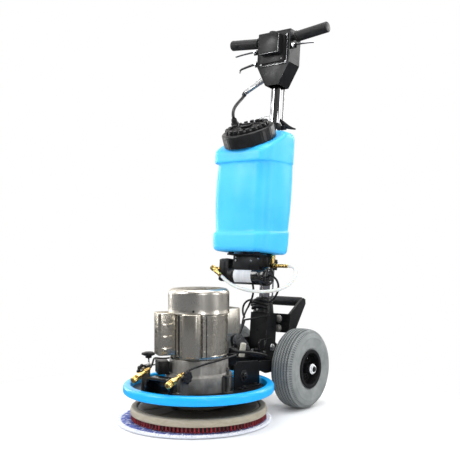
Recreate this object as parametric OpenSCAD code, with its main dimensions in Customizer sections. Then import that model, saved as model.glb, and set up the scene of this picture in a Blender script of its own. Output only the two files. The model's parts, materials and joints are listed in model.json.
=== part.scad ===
// Rotary floor machine: a 17-inch scrubbing head on a two-wheeled carriage, with a
// tilting handle that carries the solution tank, the pump and the control box.
// Origin: on the floor, on the axis of the driver block.
// +X is the machine's right, +Y its back (wheels and handle), +Z is up.

/* [Scrubbing head] */
// Diameter of the driver block
driver_d = 407; // [398:1:410]
// Diameter of the bonnet pad under the brush
bonnet_d = 468; // [456:1:470]
// How far the loose bonnet pad lies off the driver's axis, to the left
bonnet_shift = 21; // [0:1:24]
// Thickness of the bonnet pad
bonnet_h = 12; // [10:0.5:13]
// Outside diameter of the bumper ring
bumper_d = 450.8; // [447:0.2:452]
// Height of the bumper ring
bumper_h = 27; // [24:0.5:28]
// Outside diameter of the gear housing
housing_d = 200; // [196:1:202]
// Diameter of the motor's steel shell
motor_d = 168; // [166:0.5:170]
// Diameter of the vented motor cap
cap_d = 184; // [182:0.2:186]
// Height of the top of the motor cap above the floor
cap_top = 396; // [388:1:400]

/* [Planetary gears] */
// Module of the gear teeth
gear_module = 1.25; // [1.25]
// Teeth of the sun gear
sun_teeth = 12; // [12]
// Teeth of each planet gear
planet_teeth = 48; // [48]
// Face width of the gears
gear_h = 14; // [12:0.5:15]

/* [Carriage] */
// Diameter of the tyres
wheel_d = 252.6; // [248:0.2:253]
// Width of a tyre
tyre_w = 86; // [80:1:86]
// Distance from the middle of the machine to the middle of a tyre
wheel_x = 145.3; // [145:0.1:147]
// Distance from the driver's axis back to the wheel axle
axle_y = 339; // [338:0.5:342]
// Diameter of the wheel axle
axle_d = 19; // [17:0.5:19]

/* [Handle] */
// Backward lean of the handle at rest
lean = 6; // [4:0.5:7]
// Outside diameter of the handle tube
tube_d = 34.6; // [34:0.1:34.6]
// Width of the solution tank
tank_w = 225; // [215:1:228]
// Depth of the solution tank, front to back
tank_depth = 173; // [168:1:176]
// Diameter of the tank lid
lid_d = 176; // [172:1:178]
// Forward tilt of the lid against the handle's axis
lid_tilt = 30; // [28:0.5:32]
// Width of the control box
box_w = 133; // [128:1:136]
// Diameter of a hand grip
grip_d = 36; // [33:0.5:37]

/* [Hidden] */
$fn = 72;
eps = 0.5;
run_gap = 0.05;       // radial clearance of a running fit

// heights of the scrubbing head, from the floor up
brush_z = bonnet_h;
block_z = 27;
clutch_z = 49;
neck_z = 70;
deck_z = 91;
deck_top = 96;
ring_mid = 102;
gear_z = 107;
plate_z = 142;
shell_z = 190;
end_plate_z = 318;
cap_z = 321;

// gears
ring_teeth = sun_teeth + 2 * planet_teeth;
planet_orbit = gear_module * (sun_teeth + planet_teeth) / 2;
pressure_angle = 25;
flank_play = 0.12;    // each flank is thinned by this much
shaft_r = 8;
output_r = 14;
planet_pin_r = 5;

// carriage
axle_z = wheel_d / 2;
float_y = 89;         // bolt on which the carriage floats against the deck
float_z = 130.5;
float_r = 8;
arm_x = 88.5;
arm_t = 8;
cheek_x = 97.5;
cheek_t = 4;
yoke_x = 36.5;
yoke_t = 6;
hub_half = 38;        // half the length of a wheel hub
tilt_y = 323.4;       // pin on which the handle tilts
tilt_z = 185;
tilt_r = 8;
plunger_r = 5;
plunger_orbit = 45;   // the lock plunger rides in an arc slot round the tilt pin
plunger_angle = 200;

// handle, measured along the tube from the tilt pin
tube_r = tube_d / 2;
column_top = 145;
collar_z = 112;
tank_z = 304;
tank_front = -187;
tank_back = tank_front + tank_depth;
lid_y = -131;
lid_z = 668;
lid_h = 44;
neck_r = 68;
pump_y = -99;
pump_z = 229;
pump_r = 29;
box_z = 887;
box_waist = 960;
box_foot = 27;
box_top = 1076;
grip_y = -9;
grip_z = 1050;
grip_rise = 6;
trigger_y = -30;
trigger_z = 1016;
trigger_x = 80;
release_x = -78;
release_y = -22;
release_z = 975;
stub_y = -15;
button_x = -30;
button_y = 4;

// ---------- helpers ----------

// a cylinder along X, from x = a to x = b
module rod_x(r, a, b) {
    translate([a, 0, 0])
        rotate([0, 90, 0])
            cylinder(r = r, h = b - a);
}

// copies of the children on both sides of the machine
module both_sides() {
    children();
    mirror([1, 0, 0])
        children();
}

// a ring with a square section
module ring(r_out, r_in, z, h) {
    translate([0, 0, z])
        difference() {
            cylinder(r = r_out, h = h);
            translate([0, 0, -eps])
                cylinder(r = r_in, h = h + 2 * eps);
        }
}

// a rectangle with round corners, centred on X, from y = y1 to y = y2
module round_rect(w, y1, y2, r) {
    translate([-w / 2 + r, y1])
        square([w - 2 * r, y2 - y1]);
    translate([-w / 2, y1 + r])
        square([w, y2 - y1 - 2 * r]);
    for (x = [-w / 2 + r, w / 2 - r], y = [y1 + r, y2 - r])
        translate([x, y])
            circle(r = r);
}

// a plate standing in the YZ plane, drawn as [y, z] points
module side_plate(x, t, points) {
    translate([x, 0, 0])
        rotate([90, 0, 90])
            linear_extrude(height = t)
                polygon(points);
}

// the child's frame becomes the handle's: origin on the tilt pin, Z along the tube
module on_handle() {
    translate([0, tilt_y, tilt_z])
        rotate([-lean, 0, 0])
            children();
}

// the child's frame becomes the lid's: origin at the lid's seat, Z along the lid's axis
module on_lid() {
    on_handle()
        lid_frame()
            children();
}

module lid_frame() {
    translate([0, lid_y, lid_z])
        rotate([lid_tilt, 0, 0])
            children();
}

// a dome-headed bolt, the head's flat face at the origin and the dome towards +Z
module dome_head(r, h) {
    rotate_extrude()
        polygon([[0, 0], [r, 0], [r, h * 0.35], [r * 0.85, h * 0.75], [r * 0.45, h], [0, h]]);
}

// a point on a cubic curve
function curve(p, t) =
    pow(1 - t, 3) * p[0] + 3 * pow(1 - t, 2) * t * p[1] + 3 * (1 - t) * t * t * p[2] + pow(t, 3) * p[3];

// a bent round hose of radius r along the cubic curves in list
module hose(list, r, steps = 6) {
    for (p = list, i = [0:steps - 1])
        hull() {
            translate(curve(p, i / steps))
                sphere(r = r, $fn = 8);
            translate(curve(p, (i + 1) / steps))
                sphere(r = r, $fn = 8);
        }
}

// involute angle, in degrees, at radius r over a base circle rb
function involute(rb, r) =
    r <= rb ? 0 : let (t = sqrt(pow(r / rb, 2) - 1)) (t * 180 / PI - atan(t));

// outline of a gear; play thins the teeth, and a negative play widens them
module gear_outline(teeth, add, ded, play) {
    rp = gear_module * teeth / 2;
    rb = rp * cos(pressure_angle);
    play_angle = play / rp * 180 / PI;
    radii = [rp - ded, max(rb, rp - ded + 0.05), rp, rp + add / 2, rp + add];
    half = [for (r = radii) 90 / teeth + involute(rb, rp) - involute(rb, r) - play_angle];
    last = len(radii) - 1;
    polygon([
        for (i = [0:teeth - 1], j = [0:2 * last + 1])
            let (k = j <= last ? j : 2 * last + 1 - j, side = j <= last ? -1 : 1)
            let (a = 360 * i / teeth + side * half[k])
            [radii[k] * cos(a), radii[k] * sin(a)]
    ]);
}

// ---------- scrubbing head ----------

module deck() {
    color("#202224")
        difference() {
            translate([0, 0, deck_z])
                cylinder(d = bumper_d - 39.2, h = deck_top - deck_z, $fn = 96);
            translate([0, 0, deck_z - eps])
                cylinder(r = 45.3, h = 10);
        }
}

module bumper_ring() {
    r_out = bumper_d / 2;
    r_in = r_out - 23;
    z1 = ring_mid - bumper_h / 2;
    z2 = ring_mid + bumper_h / 2;
    color("#1596e8")
        rotate_extrude($fn = 120)
            polygon([
                [r_in, z1 + 2], [r_in + 2, z1], [r_out - 7, z1], [r_out - 2, z1 + 4], [r_out, z1 + 9],
                [r_out, z2 - 9], [r_out - 2, z2 - 4], [r_out - 7, z2], [r_in + 3, z2], [r_in, z2 - 3],
                [r_in, deck_top + 0.2], [r_in + 3.7, deck_top + 0.2], [r_in + 3.7, deck_z - 0.2],
                [r_in, deck_z - 0.2]
            ]);
}

module gear_housing() {
    r = housing_d / 2;
    upper_r = motor_d / 2 + 4;
    color("#8e8a84")
        difference() {
            union() {
                rotate_extrude()
                    polygon([
                        [0, deck_top], [45, deck_top], [45, neck_z], [0, neck_z]
                    ]);
                translate([0, 0, deck_top])
                    cylinder(r = r, h = plate_z - deck_top);
                translate([0, 0, plate_z])
                    cylinder(r1 = r, r2 = upper_r, h = 6);
                translate([0, 0, plate_z + 6])
                    cylinder(r = upper_r, h = shell_z - plate_z - 6);
            }
            translate([0, 0, neck_z - eps])
                cylinder(r = 26 + run_gap, h = 22);
            translate([0, 0, neck_z])
                cylinder(r = output_r + 1, h = 40);
            translate([0, 0, deck_top + 5])
                cylinder(r = 88.2, h = plate_z - deck_top - 5);
            translate([0, 0, plate_z - eps])
                cylinder(r = 20 + run_gap, h = 20);
            ring(upper_r - 5, 26, plate_z + 8, shell_z);
            translate([0, 0, plate_z + 14])
                cylinder(r = 30, h = shell_z);
        }
}

module ring_gear() {
    color("#6d6f72")
        translate([0, 0, gear_z - 1])
            linear_extrude(height = gear_h + 2)
                difference() {
                    circle(r = 88);
                    rotate(180 / ring_teeth)
                        gear_outline(ring_teeth, 1.25 * gear_module, 0.95 * gear_module, -flank_play);
                }
}

module motor_shell() {
    r = motor_d / 2;
    seam_angles = [332, 350, 8, 150, 180];
    color("#b9b4ab") {
        difference() {
            union() {
                ring(r, r - 3, shell_z, cap_z + 4 - shell_z);
                translate([0, 0, end_plate_z])
                    cylinder(r = r - 1.5, h = 6);
                translate([0, 0, end_plate_z])
                    cylinder(r = 26, h = 12);
                for (a = seam_angles)
                    rotate(a)
                        translate([r - 0.8, -2.5, shell_z + 2])
                            cube([1.6, 5, cap_z - shell_z - 5]);
            }
            translate([0, 0, end_plate_z - eps])
                cylinder(r = 20 + run_gap, h = 14);
            for (a = [0:45:315])
                rotate(a)
                    translate([40, -8, end_plate_z - eps])
                        cube([28, 16, 8]);
        }
    }
}

module motor_stator() {
    slots = 24;
    color("#55585c")
        translate([0, 0, 215])
            linear_extrude(height = 80)
                difference() {
                    circle(r = motor_d / 2 - 3.2);
                    circle(r = 43);
                    for (i = [0:slots - 1])
                        rotate(360 * i / slots)
                            translate([46, -2.6])
                                square([18, 5.2]);
                }
    color("#b5672b") {
        ring(66, 47, 199, 15.8);
        ring(66, 47, 295.2, 15.8);
    }
}

module motor_cap() {
    r = cap_d / 2;
    wall = 1.6;
    vents = 30;
    shoulder = 16;
    outer = [for (a = [0:15:90]) [r - shoulder + shoulder * cos(a), cap_top - shoulder + shoulder * sin(a)]];
    inner = [
        for (a = [90:-15:0])
            let (s = shoulder - wall)
            [r - shoulder + s * cos(a), cap_top - shoulder + s * sin(a)]
    ];
    color("#c3beb5")
        difference() {
            rotate_extrude()
                polygon(concat(
                    [[motor_d / 2 + 0.2, cap_z], [r, cap_z]], outer,
                    [[0, cap_top], [0, cap_top - wall]], inner,
                    [[r - wall, cap_z + 3], [motor_d / 2 + 0.2, cap_z + 3]]
                ));
            for (i = [0:vents - 1], row = [0, 1])
                rotate(360 * (i + row / 2) / vents)
                    translate([50 + 12 * row, -1.6, cap_top - 5])
                        cube([9, 3.2, 8]);
        }
}

// [azimuth, width, outer radius, bottom, top] of the three capacitor covers
cover_set = [
    [235, 66, 131, 202, 326],
    [297, 56, 112, 198, 325],
    [77, 70, 139, 252, 331]
];

module capacitor_cover(width, reach, low, high) {
    r = motor_d / 2;
    wall = 1.5;
    edge = 9;
    tall = high - low;
    difference() {
        translate([0, 0, low])
            linear_extrude(height = tall)
                polygon([
                    [r - 25, -width / 2], [reach - edge, -width / 2], [reach, -width / 2 + edge],
                    [reach, width / 2 - edge], [reach - edge, width / 2], [r - 25, width / 2]
                ]);
        translate([0, 0, low + wall])
            linear_extrude(height = tall - 2 * wall)
                polygon([
                    [r - 26, wall - width / 2], [reach - edge, wall - width / 2],
                    [reach - wall, wall - width / 2 + edge], [reach - wall, width / 2 - edge - wall],
                    [reach - edge, width / 2 - wall], [r - 26, width / 2 - wall]
                ]);
        translate([0, 0, shell_z])
            cylinder(r = r + 0.2, h = 200);
        translate([0, 0, cap_z - 0.3])
            cylinder(r = cap_d / 2 + 0.3, h = 50);
    }
}

module capacitor_covers() {
    color("#b9b4ab") {
        for (c = cover_set)
            rotate(c[0])
                capacitor_cover(c[1], c[2], c[3], c[4]);
        rotate(cover_set[0][0])
            for (z = [223, 258, 293])
                translate([103, cover_set[0][1] / 2, z])
                    rotate([0, 90, 0])
                        translate([0, 0, -14])
                            cylinder(r = 3, h = 28);
    }
}

module capacitors() {
    color("#2d3135") {
        for (c = [cover_set[0], cover_set[2]])
            rotate(c[0])
                translate([108, 0, c[3] + 7])
                    cylinder(r = 20, h = c[4] - c[3] - 20);
        rotate(cover_set[1][0])
            translate([98, 0, cover_set[1][3] + 8])
                cylinder(r = 11, h = 80);
    }
}

module junction_box() {
    color("#1b1c1e")
        rotate(232)
            translate([housing_d / 2 - 7, -28, plate_z + 5])
                cube([34, 56, 35]);
    color("#c8c8c8")
        rotate(232)
            translate([housing_d / 2 + 10, 28, plate_z + 24])
                rotate([-90, 0, 0])
                    dome_head(4, 2.5);
}

module pivot_cheeks() {
    color("#242628")
        both_sides()
            difference() {
                union() {
                    side_plate(cheek_x, cheek_t, [
                        [43, deck_top], [43, 166], [56, 177], [162, 168], [170, 160], [170, deck_top]
                    ]);
                    translate([cheek_x, 56, deck_top])
                        cube([20, 100, 3]);
                }
                translate([0, float_y, float_z])
                    rod_x(float_r + run_gap, cheek_x - 1, cheek_x + 6);
            }
}

module head_bolts() {
    color("#9a9c9f")
        both_sides() {
            translate([0, float_y, float_z]) {
                rod_x(float_r, 84, cheek_x + cheek_t + 0.1);
                translate([cheek_x + cheek_t, 0, 0])
                    rotate([0, 90, 0])
                        dome_head(11, 4);
                rod_x(12, 80, 84);
            }
            for (y = [76, 136])
                translate([112, y, deck_top + 3])
                    dome_head(4.5, 4);
        }
    color("#c8c8c8") {
        for (a = [22, 112, 202, 300])
            rotate(a)
                translate([cap_d / 2, 0, cap_z + 9])
                    rotate([0, 90, 0])
                        dome_head(3, 1.6);
    }
}

// the jets' common frame: pitched down towards the front, at height jet_z
jet_x = 66;
jet_y = -145;
jet_z = 166;
jet_pitch = 20;
jet_nut_r = 7;
// middle of the uprights that carry the jets, and the valve stems through them
bracket_x = jet_x + jet_nut_r + 1.5;
knob_y = -153;
knob_z = 160;

module on_jet(side) {
    translate([side * jet_x, jet_y, jet_z])
        rotate([90 + jet_pitch, 0, 0])
            children();
}

module spray_jets() {
    color("#d8a83a")
        for (side = [-1, 1])
            on_jet(side)
                difference() {
                    union() {
                        translate([0, 0, -4])
                            cylinder(r = 4, h = 10);
                        translate([0, 0, 6])
                            cylinder(r = jet_nut_r, h = 13);
                        translate([0, 0, 19])
                            cylinder(r = 4.6, h = 16);
                        translate([0, 0, 35])
                            cylinder(r = 8.5, h = 10);
                        translate([0, 0, 45])
                            cylinder(r = 11, h = 18, $fn = 6);
                        translate([0, 0, 63])
                            cylinder(r = 9.3, h = 8);
                    }
                    translate([0, 0, 20])
                        cylinder(r = 1.5, h = 60);
                }
}

module head_brackets() {
    // uprights that carry the jets, and the two clamp posts beside the gear housing
    color("#85837d") {
        for (side = [-1, 1]) {
            difference() {
                union() {
                    translate([side * bracket_x - 1.5, knob_y - 15, deck_top])
                        cube([3, 34, 64]);
                    translate([side * (bracket_x + 7) - 8.5, knob_y - 15, deck_top])
                        cube([17, 34, 3]);
                }
                translate([side * bracket_x - 5, knob_y, knob_z])
                    rod_x(3 + run_gap, 0, 10);
            }
        }
        translate([101, -14, deck_top + 47.5])
            cube([18, 28, 3]);
        translate([101, -14, deck_top])
            cube([3, 28, 48]);
        translate([101, -14, deck_top])
            cube([18, 28, 3]);
        translate([-132, -108, deck_top])
            cube([17, 34, 3]);
        translate([-132, -108, deck_top])
            cube([3, 34, 70]);
        difference() {
            translate([-132, -108, deck_top + 67])
                cube([24, 34, 3]);
            translate([-120, -91, deck_top + 60])
                cylinder(r = 4 + run_gap, h = 20);
        }
    }
    color("#9a9c9f") {
        translate([109.5, 0, deck_top + 3])
            cylinder(r = 4, h = 70);
        translate([109.5, 0, deck_top + 40])
            cylinder(r = 5.4, h = 6);
        translate([109.5, 0, deck_top + 3])
            cylinder(r = 5.4, h = 6);
        translate([109.5, 0, deck_top + 62])
            cylinder(r = 5.4, h = 5);
    }
}

module spray_hoses() {
    color("#17181a") {
        hose([
            [[66, -138.5, 168.4], [67, -114, 178], [90, -75, 180], [101, -40, 178]],
            [[101, -40, 178], [110, -5, 176], [104, 30, 186], [88, 62, 190]]
        ], 2.8, 5);
        hose([
            [[-66, -138.5, 168.4], [-72, -118, 176], [-112, -105, 178], [-113, -80, 177]],
            [[-113, -80, 177], [-114, -40, 175], [-112, 20, 176], [-92, 62, 186]]
        ], 2.8, 5);
    }
}

module front_guard() {
    // bent strap between the jets that guards the valve fittings
    strap = 4;
    color("#1b1c1e")
        translate([0, -176, 0]) {
            translate([-52, 0, deck_top])
                cube([strap, 30, 50]);
            translate([-52, 0, deck_top + 50])
                cube([96, 30, strap]);
            translate([44 - strap, 0, deck_top])
                cube([strap, 30, 50]);
            translate([44, 0, deck_top])
                cube([18, 30, 18]);
        }
}

module head_bearings() {
    color("#c0c2c5") {
        ring(26, output_r + run_gap, neck_z + 3, 17);
        ring(20, shaft_r + run_gap, plate_z, 13);
        ring(20, shaft_r + run_gap, end_plate_z, 11);
    }
}

// ---------- driver ----------

module planet_carrier() {
    color("#8b8d90")
        union() {
            translate([0, 0, clutch_z + 9])
                cylinder(r = output_r, h = 45);
            translate([0, 0, deck_top + 6])
                cylinder(r = 50, h = 4);
            for (a = [0, 120, 240])
                rotate(a)
                    translate([planet_orbit, 0, deck_top + 6])
                        cylinder(r = planet_pin_r, h = gear_h + 8);
        }
}

module clutch_plate() {
    color("#3b3a38")
        difference() {
            union() {
                translate([0, 0, clutch_z])
                    cylinder(r = 85, h = 6);
                translate([0, 0, clutch_z + 6])
                    cylinder(r1 = 62, r2 = 30, h = 9);
            }
            translate([0, 0, clutch_z + 9])
                cylinder(r = output_r + 0.02, h = 20);
            translate([0, 0, clutch_z - eps])
                cylinder(r = 8, h = 20);
        }
}

module driver_block() {
    r = driver_d / 2;
    color("#b3a68a")
        rotate_extrude($fn = 120)
            polygon([
                [40, block_z], [r - 3, block_z], [r, block_z + 4], [r, clutch_z - 6],
                [r - 4, clutch_z - 1.5],
                [r - 9, clutch_z - 0.4], [r - 15, clutch_z - 5], [r - 40, clutch_z - 5], [r - 46, clutch_z - 0.2],
                [90, clutch_z - 0.2], [40, clutch_z - 0.2]
            ]);
}

module brush_bristles() {
    r = driver_d / 2;
    color("#8a1c22")
        for (i = [0:3])
            ring(r - 3 - 36 * i, r - 15 - 36 * i, brush_z, block_z - brush_z);
}

module bonnet_pad() {
    color("#5f7fd0")
        translate([-bonnet_shift, 3, 0])
            cylinder(d = bonnet_d, h = bonnet_h, $fn = 96);
}

// ---------- motor rotor and planets ----------

module motor_rotor() {
    color("#a5a7aa")
        union() {
            translate([0, 0, gear_z - 1])
                linear_extrude(height = gear_h + 3)
                    gear_outline(sun_teeth, 0.95 * gear_module, 1.25 * gear_module, flank_play);
            translate([0, 0, gear_z + gear_h + 1.9])
                cylinder(r = shaft_r, h = 356 - gear_z - gear_h - 1.9);
            translate([0, 0, 215])
                cylinder(r = 42.4, h = 80);
        }
}

module motor_fan() {
    blades = 9;
    color("#2b2d30")
        difference() {
            union() {
                translate([0, 0, 334])
                    cylinder(r = 13, h = 18);
                translate([0, 0, 334])
                    cylinder(r = 68, h = 2);
                for (i = [0:blades - 1])
                    rotate(360 * i / blades)
                        translate([12, -1, 335])
                            cube([54, 2, 15]);
            }
            translate([0, 0, 333])
                cylinder(r = shaft_r + 0.02, h = 22);
        }
}

module planet_gear(a) {
    color("#7b7d80")
        rotate(a)
            translate([planet_orbit, 0, gear_z])
                difference() {
                    linear_extrude(height = gear_h)
                        rotate(180 / planet_teeth)
                            gear_outline(planet_teeth, 0.95 * gear_module, 1.25 * gear_module, flank_play);
                    translate([0, 0, -eps])
                        cylinder(r = planet_pin_r + run_gap, h = gear_h + 2 * eps);
                }
}

module planet_gear_a() {
    planet_gear(0);
}

module planet_gear_b() {
    planet_gear(120);
}

module planet_gear_c() {
    planet_gear(240);
}

// ---------- knobs on the head ----------

// lobed valve knob on a stem along X
module jet_knob(side) {
    lobes = 6;
    color("#131415")
        mirror([side < 0 ? 1 : 0, 0, 0])
            translate([bracket_x, knob_y, knob_z]) {
                rod_x(3, -1, 8);
                rod_x(12.5, 8, 20);
                for (i = [0:lobes - 1])
                    rotate([360 * i / lobes, 0, 0])
                        translate([0, 12, 0])
                            rod_x(5, 8, 20);
            }
}

module jet_knob_left() {
    jet_knob(-1);
}

module jet_knob_right() {
    jet_knob(1);
}

module clamp_knob() {
    // tee-headed screw that clamps the left post
    color("#131415")
        translate([-120, -91, 0]) {
            translate([0, 0, 150])
                cylinder(r = 4, h = 46);
            translate([0, 0, 192])
                cylinder(r = 8, h = 12);
            translate([0, 0, 199])
                rod_x(4.6, -17, 17);
        }
}

// ---------- carriage ----------

// arc slot, in the YZ plane, for the lock plunger
module plunger_slot(a1, a2) {
    slot_r = plunger_r + 0.4;
    far = 200;
    mid = (a1 + a2) / 2;
    rotate([90, 0, 90])
        linear_extrude(height = 20) {
            intersection() {
                difference() {
                    circle(r = plunger_orbit + slot_r);
                    circle(r = plunger_orbit - slot_r);
                }
                polygon([
                    [0, 0], [far * cos(a1), far * sin(a1)], [far * cos(mid), far * sin(mid)],
                    [far * cos(a2), far * sin(a2)]
                ]);
            }
            for (a = [a1, a2])
                translate([plunger_orbit * cos(a), plunger_orbit * sin(a)])
                    circle(r = slot_r);
        }
}

module carriage_frame() {
    color("#1d1f21")
        difference() {
            union() {
                both_sides() {
                    side_plate(arm_x, arm_t, [
                        [89, 148.5], [190, 163], [339, 148.3], [339, 104.3], [300, 116], [181, 133],
                        [130, 128], [89, 112.5]
                    ]);
                    translate([0, float_y, float_z])
                        rod_x(18, arm_x, arm_x + arm_t);
                    translate([0, axle_y, axle_z])
                        rod_x(22, arm_x, arm_x + arm_t);
                    side_plate(yoke_x, yoke_t, [
                        [252, 120], [252, 206], [262, 217], [320, 217], [355, 192], [364, 180],
                        [364, 112], [350, 104], [290, 104]
                    ]);
                }
                translate([-arm_x - 1, 246, 128])
                    cube([2 * arm_x + 2, 7, 34]);
                translate([0, axle_y, axle_z])
                    rod_x(15, -arm_x - 1, arm_x + 1);
            }
            translate([0, float_y, float_z])
                rod_x(float_r + run_gap, -120, 120);
            translate([0, axle_y, axle_z])
                rod_x(axle_d / 2 + run_gap, -120, 120);
            translate([0, tilt_y, tilt_z])
                rod_x(tilt_r + 0.02, -60, 60);
            translate([yoke_x - 7, tilt_y, tilt_z])
                plunger_slot(plunger_angle - lean - 52, plunger_angle + 2);
        }
}

module axle() {
    color("#b7babd")
        translate([0, axle_y, axle_z])
            rod_x(axle_d / 2, -(wheel_x + hub_half + 11), wheel_x + hub_half + 11);
}

module carriage_hardware() {
    // the tilt pin, and the nuts, washers and spacers on the axle
    color("#9a9c9f")
        translate([0, tilt_y, tilt_z]) {
            rod_x(tilt_r, -yoke_x - yoke_t - 0.1, yoke_x + yoke_t + 0.1);
            both_sides()
                translate([yoke_x + yoke_t, 0, 0])
                    rotate([0, 90, 0])
                        dome_head(12, 6);
        }
    color("#c9cccf")
        both_sides()
            translate([0, axle_y, axle_z]) {
                difference() {
                    union() {
                        rod_x(15, wheel_x + hub_half + 0.2, wheel_x + hub_half + 2);
                        translate([wheel_x + hub_half + 2, 0, 0])
                            rotate([0, 90, 0])
                                cylinder(r = 14.5, h = 7, $fn = 6);
                    }
                    rod_x(axle_d / 2 + 0.02, wheel_x, wheel_x + 60);
                }
                difference() {
                    rod_x(14, arm_x + arm_t + 0.2, wheel_x - hub_half - 0.2);
                    rod_x(axle_d / 2 + 0.02, arm_x, wheel_x);
                }
            }
}

module cord_plugs() {
    // the twist-lock plug and the dust cap, held on the carriage's cross plate
    color("#6f7275")
        translate([-24, 234, 212])
            rotate([0, 132, 0]) {
                cylinder(r = 15, h = 30);
                translate([0, 0, 30])
                    cylinder(r1 = 13, r2 = 9, h = 16);
                translate([0, 0, -16])
                    cylinder(r = 17.5, h = 16);
            }
    color("#a8a79c")
        translate([8, 203, 166])
            rotate([0, 10, 0])
                cylinder(r = 9.5, h = 44);
    color("#1b1c1e") {
        translate([-64, 232, 162])
            cube([62, 20, 4]);
        translate([-6, 192, 162])
            cube([30, 44, 4]);
        translate([-28, 228, 165])
            cube([8, 12, 34]);
        hose([[[10, 234, 182], [22, 234, 172], [40, 240, 167], [72, 240, 166.8]]], 4.5, 3);
        hose([[[-50, 240, 180], [-10, 226, 178], [30, 232, 174], [72, 238, 172]]], 4.5, 4);
    }
}

// ---------- wheels ----------

tyre_seat_r = 55;

module tyre(side) {
    r = wheel_d / 2;
    w = tyre_w / 2;
    color("#939a9b")
        translate([side * wheel_x, axle_y, axle_z])
            rotate([0, 90, 0])
                rotate_extrude($fn = 96)
                    polygon([
                        [tyre_seat_r, -w + 12], [62, -w + 6], [72, -w + 1.5], [84, -w], [98, -w + 1],
                        [112, -w + 6], [121, -w + 13], [r - 1.2, -w + 24], [r, -w + 34],
                        [r, w - 34], [r - 1.2, w - 24], [121, w - 13], [112, w - 6],
                        [98, w - 1], [84, w], [72, w - 1.5], [62, w - 6], [tyre_seat_r, w - 12]
                    ]);
}

module rim(side) {
    w = tyre_w / 2;
    holes = 8;
    seat = tyre_seat_r - 0.1;
    color("#16181a")
        translate([side * wheel_x, axle_y, axle_z])
            rotate([0, 90, 0])
                difference() {
                    union() {
                        rotate_extrude()
                            polygon([
                                [seat - 4, -w + 3], [61.5, -w + 3], [61.5, -w + 5.5], [seat, -w + 11],
                                [seat, w - 11], [61.5, w - 5.5], [61.5, w - 3], [seat - 4, w - 3]
                            ]);
                        translate([0, 0, -4])
                            cylinder(r = 53, h = 8);
                        translate([0, 0, -hub_half])
                            cylinder(r = 15.5, h = 2 * hub_half);
                        translate([0, 0, -12])
                            cylinder(r = 24, h = 24);
                    }
                    translate([0, 0, -60])
                        cylinder(r = axle_d / 2 + run_gap, h = 120);
                    for (i = [0:holes - 1])
                        rotate(360 * i / holes)
                            translate([38, 0, -10])
                                cylinder(r = 5.5, h = 20);
                }
}

module tyre_left() {
    tyre(-1);
}

module rim_left() {
    rim(-1);
}

module tyre_right() {
    tyre(1);
}

module rim_right() {
    rim(1);
}

// ---------- handle ----------

plunger_pos = [plunger_orbit * cos(plunger_angle), plunger_orbit * sin(plunger_angle)];

// Radius of the column's tapered collar at a height
function collar_r(z) = 35 - 5 * (z - collar_z) / (column_top - collar_z);

module handle_column() {
    color("#1b1c1e")
        on_handle()
            difference() {
                union() {
                    rod_x(24, -34, 34);
                    translate([-34, -24, 0])
                        cube([68, 56, 112]);
                    translate([0, 0, collar_z])
                        cylinder(
                            r1 = collar_r(collar_z), r2 = collar_r(column_top),
                            h = column_top - collar_z
                        );
                    translate([-15, 31, 55])
                        cube([30, 22, 52]);
                    translate([0, plunger_pos[0], plunger_pos[1]])
                        rod_x(11, 6, 34);
                    translate([6, plunger_pos[0], plunger_pos[1] - 8])
                        cube([28, 30, 18]);
                }
                translate([0, 0, 55])
                    cylinder(r = tube_r + run_gap, h = 200);
                rod_x(tilt_r + 0.06, -60, 60);
                translate([0, plunger_pos[0], plunger_pos[1]])
                    rod_x(plunger_r + run_gap, -20, 60);
            }
}

module handle_tube() {
    color("#c9cbcd")
        on_handle()
            ring(tube_r, tube_r - 2, 56, 960);
}

module grab_handle() {
    bar_y = 135;
    bar_z = 156;
    color("#151617")
        on_handle() {
            translate([-72.5, 53.1, 49])
                cube([145, 5, 63]);
            translate([0, bar_y, bar_z])
                rod_x(13.5, -70, 70);
            both_sides()
                side_plate(64, 8.5, [
                    [53.1, 49], [53.1, 112], [118, 162], [130, 169], [145, 166], [148, 150], [86, 49]
                ]);
        }
}

module handle_bolts() {
    color("#b4b6b8")
        on_handle() {
            both_sides()
                for (z = [62, 94])
                    translate([28, 53, z])
                        rotate([90, 0, 0])
                            dome_head(12.5, 7);
            // clamp screws of the column's collar
            for (z = [121, 133])
                translate([0, -collar_r(z - 4) - 0.02, z])
                    rotate([90, 0, 0])
                        cylinder(r = 4, h = 5, $fn = 6);
            // rod from the release lever down to the tilt lock
            translate([16, 24, column_top + 1])
                cylinder(r = 2.8, h = 760);
            // hose stub under the control box
            translate([-34, stub_y, 918])
                rotate([0, -115, 0])
                    cylinder(r = 6.2, h = 98);
        }
}

module pump_motor() {
    color("#141516")
        on_handle()
            translate([0, pump_y, pump_z]) {
                rod_x(pump_r, -48, 62);
                rod_x(pump_r + 2, 62, 86);
            }
}

module pump_head() {
    color("#191a1c")
        on_handle()
            translate([0, pump_y, pump_z]) {
                rod_x(pump_r, -66, -48.2);
                translate([-104, -25, -22])
                    cube([38, 50, 76]);
                rod_x(14, -110, -104);
            }
}

module pump_bracket() {
    // saddle that clamps the pump, hung from the plate that the tank's feet stand on
    color("#1b1c1e")
        on_handle() {
            difference() {
                union() {
                    translate([-62, pump_y - 40, 293])
                        cube([124, 100, 5]);
                    translate([0, 0, 250])
                        cylinder(r = 25.5, h = 48);
                    translate([-20, pump_y + 31, 262])
                        cube([40, 68, 36]);
                }
                translate([0, 0, 200])
                    cylinder(r = tube_r + run_gap, h = 200);
            }
            translate([0, pump_y, 0])
                difference() {
                    translate([-47, -24, pump_z + 16])
                        cube([106, 48, 293 - pump_z - 16]);
                    translate([0, 0, pump_z])
                        rod_x(pump_r + 0.3, -60, 70);
                }
            for (x = [-52, 0, 52], y = [-130, -60])
                translate([x, y, 298])
                    cylinder(r = 9, h = 5.8);
        }
}

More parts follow.
